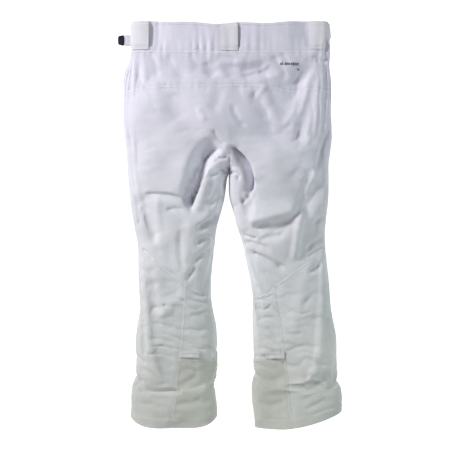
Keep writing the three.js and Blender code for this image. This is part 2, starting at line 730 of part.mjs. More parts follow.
addWaistband();
addBody();
addGusset();
addLowerLegs();
addInside();
addLoops();
addZips();
addWaistFlap();
addAdjusters();
addCuffTabs();
addRearMark();

export default group;
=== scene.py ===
"""Insulated ski pants, hanging by the waistband and seen from behind. Metres, +Z up, wearer faces +Y."""
import json
import math

import bpy
import numpy as np
from mathutils import Matrix, Vector

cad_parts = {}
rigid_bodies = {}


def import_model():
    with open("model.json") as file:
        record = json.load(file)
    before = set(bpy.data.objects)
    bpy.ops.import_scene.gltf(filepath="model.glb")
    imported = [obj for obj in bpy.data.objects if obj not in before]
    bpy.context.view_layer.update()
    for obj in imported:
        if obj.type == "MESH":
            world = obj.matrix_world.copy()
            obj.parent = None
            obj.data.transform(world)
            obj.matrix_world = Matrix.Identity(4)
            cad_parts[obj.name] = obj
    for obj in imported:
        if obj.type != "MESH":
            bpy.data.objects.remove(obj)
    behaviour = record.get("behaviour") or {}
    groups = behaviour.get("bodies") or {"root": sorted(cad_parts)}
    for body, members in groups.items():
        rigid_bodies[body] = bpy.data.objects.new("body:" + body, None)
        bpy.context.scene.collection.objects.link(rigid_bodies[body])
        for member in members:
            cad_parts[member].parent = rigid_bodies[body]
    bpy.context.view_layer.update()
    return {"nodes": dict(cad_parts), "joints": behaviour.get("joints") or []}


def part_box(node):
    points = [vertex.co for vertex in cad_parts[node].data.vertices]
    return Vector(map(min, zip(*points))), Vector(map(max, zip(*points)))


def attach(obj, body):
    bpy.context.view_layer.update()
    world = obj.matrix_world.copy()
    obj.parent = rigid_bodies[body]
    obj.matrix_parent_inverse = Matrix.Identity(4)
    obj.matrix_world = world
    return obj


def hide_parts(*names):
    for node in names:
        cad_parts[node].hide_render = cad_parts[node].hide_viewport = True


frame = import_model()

MM = 0.001
SEED = 7

# ---------------------------------------------------------------- camera, lights, floor

EYE_DISTANCE = 3.0
VIEW_WIDTH = 1.15
VIEW_CENTRE = Vector((0.0025, 0.0, -0.520))
FLOOR_Z = -1.32


def make_camera():
    camera = bpy.data.cameras.new("camera")
    camera.sensor_width = 36
    camera.lens = 36 * EYE_DISTANCE / VIEW_WIDTH
    eye = bpy.data.objects.new("camera", camera)
    eye.location = VIEW_CENTRE + Vector((0, -EYE_DISTANCE, 0))
    eye.rotation_euler = (math.pi / 2, 0, 0)
    bpy.context.collection.objects.link(eye)
    bpy.context.scene.camera = eye


def area_light(name, place, target, size, watts, tint=(1, 1, 1)):
    lamp = bpy.data.lights.new(name, "AREA")
    lamp.shape = "RECTANGLE"
    lamp.size, lamp.size_y = size
    lamp.energy = watts
    lamp.color = tint
    obj = bpy.data.objects.new(name, lamp)
    obj.location = place
    aim = Vector(target) - Vector(place)
    obj.rotation_euler = aim.to_track_quat("-Z", "Y").to_euler()
    bpy.context.collection.objects.link(obj)


def spot_light(name, place, target, reach, watts, tint):
    """A soft round pool of light with the given radius at its target."""
    lamp = bpy.data.lights.new(name, "SPOT")
    aim = Vector(target) - Vector(place)
    lamp.spot_size = 2 * math.atan(reach / aim.length)
    lamp.spot_blend = 1.0
    lamp.shadow_soft_size = 0.3
    lamp.energy = watts
    lamp.color = tint
    obj = bpy.data.objects.new(name, lamp)
    obj.location = place
    obj.rotation_euler = aim.to_track_quat("-Z", "Y").to_euler()
    bpy.context.collection.objects.link(obj)


def floor_material():
    """White, glowing softly where the camera sees it behind the garment, and plain near the hems."""
    n = Nodes("floor")
    place = n.add("ShaderNodeTexCoord").outputs["Object"]
    y = n.add("ShaderNodeSeparateXYZ", Vector=place).outputs[1]
    n.put(n.shader.inputs["Emission Strength"], n.span(y, 0.3, 1.1, 0.10, 0.97))
    n.shader.inputs["Emission Color"].default_value = (1, 1, 1, 1)
    n.shader.inputs["Base Color"].default_value = (0.5, 0.5, 0.5, 1)
    n.shader.inputs["Roughness"].default_value = 1.0
    n.shader.inputs["Specular IOR Level"].default_value = 0.0
    return n.material


def make_sweep():
    """A white floor that curves up into a wall far behind the garment."""
    profile = [(-6.0, FLOOR_Z), (3.0, FLOOR_Z)]
    radius = 3.0
    for i in range(1, 13):
        angle = math.pi / 2 * i / 12
        profile.append((3.0 + radius * math.sin(angle), FLOOR_Z + radius * (1 - math.cos(angle))))
    profile.append((6.0, 6.0))
    points = [(x, y, z) for x in (-9.0, 9.0) for y, z in profile]
    count = len(profile)
    faces = [(i, count + i, count + i + 1, i + 1) for i in range(count - 1)]
    mesh = bpy.data.meshes.new("floor")
    mesh.from_pydata(points, [], faces)
    mesh.shade_smooth()
    material = floor_material()
    mesh.materials.append(material)
    floor = bpy.data.objects.new("floor", mesh)
    bpy.context.collection.objects.link(floor)


def make_studio():
    world = bpy.data.worlds.new("studio")
    bpy.context.scene.world = world
    world.use_nodes = True
    world.node_tree.nodes["Background"].inputs["Color"].default_value = (0.91, 1, 0.98, 1)
    world.node_tree.nodes["Background"].inputs["Strength"].default_value = 0.13
    middle = (0, 0, -0.5)
    area_light("key", (-2.7, -1.8, 1.25), middle, (0.7, 0.7), 114, (1, 0.985, 0.995))
    area_light("fill", (3.5, -1.2, 0.1), middle, (1.0, 1.0), 44, (0.90, 1, 0.98))
    spot_light("low fill", (1.6, -2.2, -0.6), (0.26, 0, -0.86), 0.40, 36, (0.90, 1, 0.98))
    make_sweep()
    bpy.context.scene.view_settings.view_transform = "Standard"


# ---------------------------------------------------------------- materials


# sRGB colours from the waist down to the hems. The shell's are its own white with painted shade that darkens
# it towards the hems.
SHELL_TONE_AND_PAINTED_SHADE = (
    (230, 227, 243), (230, 228, 242), (229, 229, 238),
    (224, 226, 230), (216, 218, 217), (205, 207, 201),
)
GUARD_SHADES = ((206, 208, 202), (202, 204, 196))
LINING_SHADES = ((214, 214, 220), (212, 212, 214))


class Nodes:
    """A short way to write a material's node tree."""

    def __init__(self, name):
        self.material = bpy.data.materials.new(name)
        self.material.use_nodes = True
        self.tree = self.material.node_tree
        self.shader = self.tree.nodes["Principled BSDF"]

    def add(self, kind, settings=(), **inputs):
        node = self.tree.nodes.new(kind)
        for key, value in dict(settings).items():
            setattr(node, key, value)
        for key, value in inputs.items():
            self.put(node.inputs[key.replace("_", " ")], value)
        return node

    def put(self, socket, value):
        if isinstance(value, bpy.types.NodeSocket):
            self.tree.links.new(value, socket)
        else:
            socket.default_value = value

    def math(self, operation, a, b=0.0, c=0.0):
        node = self.tree.nodes.new("ShaderNodeMath")
        node.operation = operation
        for socket, value in zip(node.inputs, (a, b, c)):
            self.put(socket, value)
        return node.outputs[0]

    def attribute(self, name):
        node = self.tree.nodes.new("ShaderNodeAttribute")
        node.attribute_name = name
        return node

    def ramp(self, factor, stops):
        node = self.tree.nodes.new("ShaderNodeValToRGB")
        ramp = node.color_ramp
        while len(ramp.elements) < len(stops):
            ramp.elements.new(0.5)
        for element, (place, color) in zip(ramp.elements, stops):
            element.position = place
            element.color = (*color, 1)
        self.put(node.inputs[0], factor)
        return node.outputs[0]

    def mix(self, factor, a, b):
        node = self.tree.nodes.new("ShaderNodeMix")
        node.data_type = "RGBA"
        self.put(node.inputs["Factor"], factor)
        self.put(node.inputs["A"], a)
        self.put(node.inputs["B"], b)
        return node.outputs["Result"]

    def multiply(self, a, b):
        node = self.tree.nodes.new("ShaderNodeMix")
        node.data_type = "RGBA"
        node.blend_type = "MULTIPLY"
        self.put(node.inputs["Factor"], 1.0)
        for socket, value in ((node.inputs[6], a), (node.inputs[7], b)):
            self.put(socket, value)
        return node.outputs[2]

    def span(self, value, low, high, at_low, at_high):
        node = self.tree.nodes.new("ShaderNodeMapRange")
        for socket, number in zip(node.inputs[:5], (value, low, high, at_low, at_high)):
            self.put(socket, number)
        return node.outputs[0]

    def bump(self, height, distance, strength=1.0, normal=None):
        node = self.add("ShaderNodeBump", Height=height, Distance=distance, Strength=strength)
        if normal is not None:
            self.put(node.inputs["Normal"], normal)
        return node.outputs[0]

    def noise(self, vector, scale, detail=3.0, roughness=0.5):
        node = self.add("ShaderNodeTexNoise", Vector=vector, Scale=scale, Detail=detail, Roughness=roughness)
        return node.outputs["Fac"]


def linear(srgb):
    """An sRGB colour from 0 to 255 as a linear one."""
    values = [c / 255 for c in srgb]
    return tuple(c / 12.92 if c <= 0.04045 else ((c + 0.055) / 1.055) ** 2.4 for c in values)


def stitch_mask(n, u, v, pitch=0.0034):
    """1 on the thread of a double row of topstitching beside the seams, from the stored distances."""
    masks = []
    for name, along in (("seam_across", u), ("seam_down", v)):
        distance = n.attribute(name).outputs["Fac"]
        dash = n.math("FRACT", n.math("DIVIDE", along, pitch))
        on = n.math("LESS_THAN", dash, 0.72)
        for line in (0.0015, 0.0050):
            off = n.math("ABSOLUTE", n.math("SUBTRACT", distance, line))
            near = n.math("LESS_THAN", off, 0.00042)
            masks.append(n.math("MULTIPLY", near, on))
    total = masks[0]
    for mask in masks[1:]:
        total = n.math("MAXIMUM", total, mask)
    return total


def cloth_material(
    name, shades, dirt=0.05, weave=0.0011, stitched=True, grain=1.0, roughness=0.66, sheen=0.06
):
    """Woven cloth: weave bump, soft crumple, faint soiling, topstitching from the seam distances, a painted
    highlight on the seam laps and painted shade beside the lengthwise seams.
    shades are its colours from the waist down to the hems; on the shell they darken with painted shade
    towards the hems."""
    n = Nodes(name)
    uv = n.add("ShaderNodeUVMap", {"uv_map": "cloth"}).outputs[0]
    place = n.add("ShaderNodeTexCoord").outputs["Object"]
    parts = n.add("ShaderNodeSeparateXYZ", Vector=uv)
    u, v = parts.outputs[0], parts.outputs[1]
    height = n.add("ShaderNodeSeparateXYZ", Vector=place).outputs[2]
    fall = n.math("MULTIPLY", height, -1 / LENGTH)
    count = len(shades)
    # Colour by height; on the shell its darkening towards the hems is painted shade.
    tone = n.ramp(fall, [(i / max(count - 1, 1), linear(shade)) for i, shade in enumerate(shades)])
    warp = n.math("SINE", n.math("MULTIPLY", u, 2 * math.pi / weave))
    weft = n.math("SINE", n.math("MULTIPLY", v, 2 * math.pi / weave))
    threads = n.math("MULTIPLY", warp, weft)
    patches = n.noise(place, 9.0, 4.0, 0.6)
    fine = n.noise(place, 420.0, 2.0, 0.6)
    soiled = n.ramp(patches, [(0.30, (1 - dirt * 2,) * 3), (0.62, (1.0,) * 3)])
    color = n.multiply(tone, soiled)
    color = n.multiply(color, n.math("MULTIPLY_ADD", fine, 0.10, 0.95))
    crumple = n.noise(place, 38.0, 5.0, 0.62)
    normal = n.bump(crumple, 0.0030 * grain, 0.5)
    ridged = {"noise_type": "RIDGED_MULTIFRACTAL"}
    crisp = n.add("ShaderNodeTexNoise", ridged, Vector=place, Scale=15.0, Detail=3.0)
    normal = n.bump(crisp.outputs["Fac"], -0.0016 * grain, 0.6, normal)
    normal = n.bump(threads, 0.00012, 0.5, normal)
    if stitched:
        across, down = (n.attribute(k).outputs["Fac"] for k in ("seam_across", "seam_down"))
        near = n.math("MINIMUM", across, down)
        lap = n.span(near, 0.0060, 0.0072, 1.0, 0.0)
        normal = n.bump(lap, 0.0007, 0.9, normal)
        thread = stitch_mask(n, u, v)
        near = n.math("MINIMUM", near, n.attribute("seam_edge").outputs["Fac"])
        color = n.multiply(color, n.span(near, 0.0, 0.0009, 0.84, 1.0))
        # Painted highlight: the raised seam lap is coloured 6 % lighter.
        color = n.multiply(color, n.span(lap, 0.0, 1.0, 1.0, 1.06))
        # Painted shade: darker within 14 mm of the seams kept in seam_down, which are the side seams, the
        # calf seams and the strap sides.
        color = n.multiply(color, n.span(down, 0.0, 0.014, 0.90, 1.0))
        color = n.mix(thread, color, (*linear((240, 240, 246)), 1))
        normal = n.bump(thread, 0.0004, 0.8, normal)
    n.put(n.shader.inputs["Base Color"], color)
    n.put(n.shader.inputs["Normal"], normal)
    n.put(n.shader.inputs["Roughness"], n.math("MULTIPLY_ADD", fine, 0.12, roughness - 0.06))
    n.shader.inputs["Sheen Weight"].default_value = sheen
    n.shader.inputs["Sheen Roughness"].default_value = 0.45
    n.shader.inputs["Specular IOR Level"].default_value = 0.3
    return n.material


def elastic_material(name, color, rib=0.0022):
    """Knitted elastic with ribs that run along the strap."""
    n = Nodes(name)
    uv = n.add("ShaderNodeUVMap", {"uv_map": "cloth"}).outputs[0]
    place = n.add("ShaderNodeTexCoord").outputs["Object"]
    parts = n.add("ShaderNodeSeparateXYZ", Vector=uv)
    ribs = n.math("ABSOLUTE", n.math("SINE", n.math("MULTIPLY", parts.outputs[0], math.pi / rib)))
    knit = n.math("SINE", n.math("MULTIPLY", parts.outputs[1], 2 * math.pi / 0.0016))
    fuzz = n.noise(place, 600.0, 3.0)
    tone = n.math("MULTIPLY_ADD", ribs, 0.35, n.math("MULTIPLY", fuzz, 0.5))
    base = linear(color)
    colored = n.ramp(tone, [(0.1, tuple(c * 0.90 for c in base)), (0.75, base)])
    normal = n.bump(ribs, 0.0006, 0.6)
    normal = n.bump(knit, 0.0002, 0.4, normal)
    edge = n.attribute("seam_down").outputs["Fac"]
    end = n.attribute("seam_across").outputs["Fac"]
    dash = n.math("FRACT", n.math("DIVIDE", parts.outputs[0], 0.0034))
    thread = n.math("LESS_THAN", n.math("ABSOLUTE", n.math("SUBTRACT", end, 0.0052)), 0.0005)
    thread = n.math("MULTIPLY", thread, n.math("LESS_THAN", dash, 0.7))
    # Painted shade: the strap darkens to 0.72 along its long edges.
    colored = n.multiply(colored, n.span(edge, 0.0002, 0.0012, 0.72, 1.0))
    colored = n.mix(thread, colored, (*linear((250, 250, 252)), 1))
    normal = n.bump(n.span(end, 0.0050, 0.0062, 0.0, 1.0), 0.0008, 0.8, normal)
    n.put(n.shader.inputs["Base Color"], colored)
    n.put(n.shader.inputs["Normal"], normal)
    n.shader.inputs["Roughness"].default_value = 0.85
    n.shader.inputs["Sheen Weight"].default_value = 0.3
    return n.material


def metal_material(name, color, roughness=0.32):
    n = Nodes(name)
    place = n.add("ShaderNodeTexCoord").outputs["Object"]
    wear = n.noise(place, 300.0, 4.0, 0.7)
    base = linear(color)
    n.put(n.shader.inputs["Base Color"], n.ramp(wear, [(0.3, tuple(c * 0.8 for c in base)), (0.65, base)]))
    n.put(n.shader.inputs["Roughness"], n.math("MULTIPLY_ADD", wear, 0.2, roughness - 0.1))
    n.put(n.shader.inputs["Normal"], n.bump(n.noise(place, 1500.0), 0.0001, 0.4))
    n.shader.inputs["Metallic"].default_value = 1.0
    return n.material


def rubber_material(name, color):
    n = Nodes(name)
    place = n.add("ShaderNodeTexCoord").outputs["Object"]
    grain = n.noise(place, 1400.0, 2.0)
    wear = n.noise(place, 120.0, 4.0)
    base = linear(color)
    worn = tuple(c * 2.2 + 0.01 for c in base)
    n.put(n.shader.inputs["Base Color"], n.ramp(wear, [(0.35, base), (0.75, worn)]))
    n.put(n.shader.inputs["Roughness"], n.math("MULTIPLY_ADD", wear, 0.25, 0.38))
    n.put(n.shader.inputs["Normal"], n.bump(grain, 0.0002, 0.5))
    return n.material


def hook_material(name, color):
    """Hook tape: rows of tiny stiff hooks."""
    n = Nodes(name)
    place = n.add("ShaderNodeTexCoord").outputs["Object"]
    cells = n.add("ShaderNodeTexVoronoi", Vector=place, Scale=900.0).outputs["Distance"]
    base = linear(color)
    n.put(n.shader.inputs["Base Color"], n.ramp(cells, [(0.1, base), (0.7, tuple(c * 0.6 for c in base))]))
    n.put(n.shader.inputs["Normal"], n.bump(cells, -0.0005, 0.8))
    n.shader.inputs["Roughness"].default_value = 0.6
    return n.material


# ---------------------------------------------------------------- the garment's skin

# The hanging outline, in millimetres: drop below the waist's top edge, left side seam, left inseam,
# right inseam and right side seam, each as a distance from the centre plane.
OUTLINE = (
    (0, 245, 0, 0, 246),
    (78, 245, 0, 0, 252),
    (98, 248, 0, 0, 252),
    (122, 258, 0, 0, 250),
    (148, 265, 0, 0, 257),
    (195, 267, 0, 0, 252),
    (245, 267, 0, 0, 260),
    (275, 265, 0, 0, 263),
    (320, 262, 0, 0, 253),
    (352, 256, 1, 0, 248),
    (400, 251, 5, -1, 246),
    (432, 247, 10, 0, 245),
    (458, 243, 18, 7, 245),
    (500, 236, 28, 18, 243),
    (545, 227, 36, 30, 239),
    (585, 223, 43, 46, 239),
    (620, 222, 45, 56, 242),
    (670, 222, 43, 57, 246),
    (720, 225, 37, 57, 256),
    (800, 231, 32, 58, 266),
    (900, 239, 31, 60, 276),
    (1005, 244, 32, 62, 281),
)

# Half depths, in millimetres: drop, to the back, to the front.
DEPTHS = (
    (0, 30, 31),
    (72, 32, 32),
    (120, 45, 40),
    (170, 59, 48),
    (215, 69, 55),
    (270, 77, 62),
    (330, 77, 64),
    (400, 70, 63),
    (445, 65, 61),
    (520, 59, 57),
    (620, 52, 53),
    (820, 54, 54),
    (1005, 50, 50),
)

LENGTH = -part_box("hem_band_left")[0][2]
BAND = -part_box("waistband_back")[0][2]
HEM_TOP = -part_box("hem_band_left")[1][2]
KICK_RAISED = 0.015
KICK_TOP = -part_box("kick_panel_left")[1][2] - KICK_RAISED
CROTCH_START, CROTCH_DROP = 0.270, -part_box("crotch_gusset")[0][2] + 0.010
ROUND_FROM, ROUND_TO = 0.215, 0.445
ROUNDNESS = 0.8
LEFT, RIGHT = -1, 1
BACK, FRONT = -1, 1
SIDES = (("left", LEFT), ("right", RIGHT))


def smoothed(table, column, spread=0.011):
    """A table's column as a smooth function of the drop."""
    drops = np.array([row[0] for row in table]) * MM
    values = np.array([row[column] for row in table]) * MM
    fine = np.arange(-0.1, LENGTH + 0.1, 0.001)
    line = np.interp(fine, drops, values)
    reach = np.arange(-40, 41) * 0.001
    kernel = np.exp(-((reach / spread) ** 2) / 2)
    padded = np.pad(line, 40, mode="edge")
    soft = np.convolve(padded, kernel / kernel.sum(), mode="valid")
    return lambda drop: np.interp(drop, fine, soft)


OUTER = {LEFT: smoothed(OUTLINE, 1), RIGHT: smoothed(OUTLINE, 4)}
INNER = {LEFT: smoothed(OUTLINE, 2), RIGHT: smoothed(OUTLINE, 3)}
DEPTH = {BACK: smoothed(DEPTHS, 1, 0.02), FRONT: smoothed(DEPTHS, 2, 0.02)}


def step(x, low, high):
    t = np.clip((x - low) / (high - low), 0, 1)
    return t * t * (3 - 2 * t)


def closing(drop):
    """How far the two halves have closed into legs along the crotch curve."""
    share = np.clip((drop - CROTCH_START) / (CROTCH_DROP - CROTCH_START), 0, 1)
    return 1 - np.sqrt(1 - share**2)


def skin(side, face, across, drop, inset=0.0):
    """Points of the garment before it is folded. across is 0 at the side seam, 1 at the middle."""
    across, drop = np.broadcast_arrays(np.asarray(across, float), np.asarray(drop, float))
    edge = closing(drop)
    weight = across**4
    closed = step(drop, ROUND_FROM, ROUND_TO) * (1 - weight) + edge * weight
    outer = OUTER[side](drop) - inset
    inner = INNER[side](drop) * step(drop, CROTCH_DROP, CROTCH_DROP + 0.03) + inset * edge
    quarter = across * math.pi / 2
    body_x = outer + (inner - outer) * (1 - np.cos(quarter))
    leg_x = outer + (inner - outer) * (1 - np.cos(across * math.pi)) / 2
    body_y = np.sin(quarter) ** ROUNDNESS
    leg_y = np.maximum(np.sin(across * math.pi), 0) ** ROUNDNESS
    x = side * (body_x + (leg_x - body_x) * closed)
    y = face * (DEPTH[face](drop) - inset) * (body_y + (leg_y - body_y) * closed)
    return np.stack([x, y, -drop], axis=-1)


# ---------------------------------------------------------------- the grid of the cloth

FINE = 2
SEAM_DEPTH = 0.0006
COLUMNS = 38 * FINE
CALF_COLUMN = 21 * FINE
KNEE_OUTER, KNEE_INNER = 0.565, 0.685
CALF_SEAM = {LEFT: (0.613, 0.478), RIGHT: (0.658, 0.536)}  # shares across, at the knee and at the hem


def yoke_seam(c):
    return 0.158 + 0.018 * (1 - c) ** 2


def knee_seam(c):
    return KNEE_OUTER + (KNEE_INNER - KNEE_OUTER) * (1 - np.cos(c * math.pi)) / 2


# Each level is a seam or a change of spacing: its drop as a function of the share across.
LEVELS = (
    lambda c: 0 * c,
    lambda c: BAND + 0 * c,
    yoke_seam,
    lambda c: 0.250 + 0.020 * c,
    lambda c: 0.385 + (CROTCH_DROP - 0.385) * c,
    lambda c: 0.545 + 0.015 * c,
    knee_seam,
    lambda c: 0.715 - 0.010 * c,
    lambda c: KICK_TOP + 0 * c,
    lambda c: HEM_TOP + 0 * c,
    lambda c: LENGTH + 0 * c,
)
SPANS = tuple(FINE * n for n in (9, 12, 12, 16, 24, 8, 10, 20, 16, 4))
(ROW_TOP, ROW_BAND, ROW_YOKE, ROW_CROTCH_START, ROW_CROTCH, ROW_KNEE_TOP, ROW_KNEE_BACK,
 ROW_KNEE_LOW, ROW_KICK, ROW_HEM, ROW_END) = np.concatenate([[0], np.cumsum(SPANS)]).tolist()


def calf_seam(side, drop):
    knee, hem = CALF_SEAM[side]
    return knee + (hem - knee) * (drop - KNEE_OUTER) / (LENGTH - KNEE_OUTER)


def grid_drops(c):
    """Drops of every row at every column, for the share across of each column."""
    rows = []
    for index, count in enumerate(SPANS):
        top, low = LEVELS[index](c), LEVELS[index + 1](c)
        for i in range(count):
            share = i / count
            if index == 3:  # rows crowd towards the bottom of the crotch curve
                share = share + (math.sin(share * math.pi / 2) - share) * c**4
            rows.append(top + (low - top) * share)
    rows.append(LEVELS[-1](c))
    return np.array(rows)


def grid_across(side, drops):
    """Shares across, with one column bent onto the calf's long seam."""
    c = np.linspace(0, 1, COLUMNS + 1)[None, :]
    plain = CALF_COLUMN / COLUMNS
    seam = plain + (calf_seam(side, drops) - plain) * step(drops, 0.46, 0.57)
    low = c / plain * seam
    high = seam + (c - plain) / (1 - plain) * (1 - seam)
    return np.where(c < plain, low, high)


def grid_of(side):
    """Shares across and drops on one side: rows follow the seams where the bent columns cross them."""
    c = np.linspace(0, 1, COLUMNS + 1)
    knee = CALF_COLUMN / COLUMNS
    there = calf_seam(side, 0.640)
    bent = np.where(c < knee, c / knee * there, there + (c - knee) / (1 - knee) * (1 - there))
    drops = grid_drops(c)
    low = step(drops.mean(axis=1), 0.46, 0.57)[:, None]
    drops = drops + (grid_drops(bent) - drops) * low
    return grid_across(side, drops), drops


GRID = {side: grid_of(side) for side in (LEFT, RIGHT)}


class Cloth:
    """All four quarters of the shell as one mesh with shared seams."""

    def __init__(self):
        quarters = {(s, f): skin(s, f, *GRID[s]) for s in (LEFT, RIGHT) for f in (BACK, FRONT)}
        every = np.concatenate([q.reshape(-1, 3) for q in quarters.values()])
        keys = np.round(every, 6) + 0.0
        _, first, index = np.unique(keys, axis=0, return_index=True, return_inverse=True)
        self.points = every[first]
        shape = GRID[LEFT][0].shape
        size = shape[0] * shape[1]
        self.ids = {}
        for i, key in enumerate(quarters):
            self.ids[key] = index.reshape(-1)[i * size:(i + 1) * size].reshape(shape)
        faces = [self.quads(s, f, 0, ROW_END, 0, COLUMNS) for s, f in quarters]
        self.faces = np.concatenate(faces)
        self.length_across, self.length_down = self.measure(quarters)

    def measure(self, quarters):
        across, down = {}, {}
        for key, grid in quarters.items():
            steps = np.linalg.norm(np.diff(grid, axis=1), axis=2)
            across[key] = np.concatenate([np.zeros((len(grid), 1)), np.cumsum(steps, axis=1)], axis=1)
            steps = np.linalg.norm(np.diff(grid, axis=0), axis=2)
            down[key] = np.concatenate([np.zeros((1, grid.shape[1])), np.cumsum(steps, axis=0)])
        return across, down

    def quads(self, side, face, r0, r1, c0, c1):
        ids = self.ids[(side, face)]
        a, b = ids[r0:r1, c0:c1], ids[r0:r1, c0 + 1:c1 + 1]
        c, d = ids[r0 + 1:r1 + 1, c0 + 1:c1 + 1], ids[r0 + 1:r1 + 1, c0:c1]
        order = (a, b, c, d) if side * face < 0 else (d, c, b, a)
        return np.stack([part.ravel() for part in order], axis=1)

    def normals(self, points=None):
        p = self.points if points is None else points
        a, b, c, d = (p[self.faces[:, k]] for k in range(4))
        flat = np.cross(c - a, d - b)
        total = np.zeros_like(p)
        for k in range(4):
            np.add.at(total, self.faces[:, k], flat)
        return total / np.maximum(np.linalg.norm(total, axis=1, keepdims=True), 1e-12)


# ---------------------------------------------------------------- folds

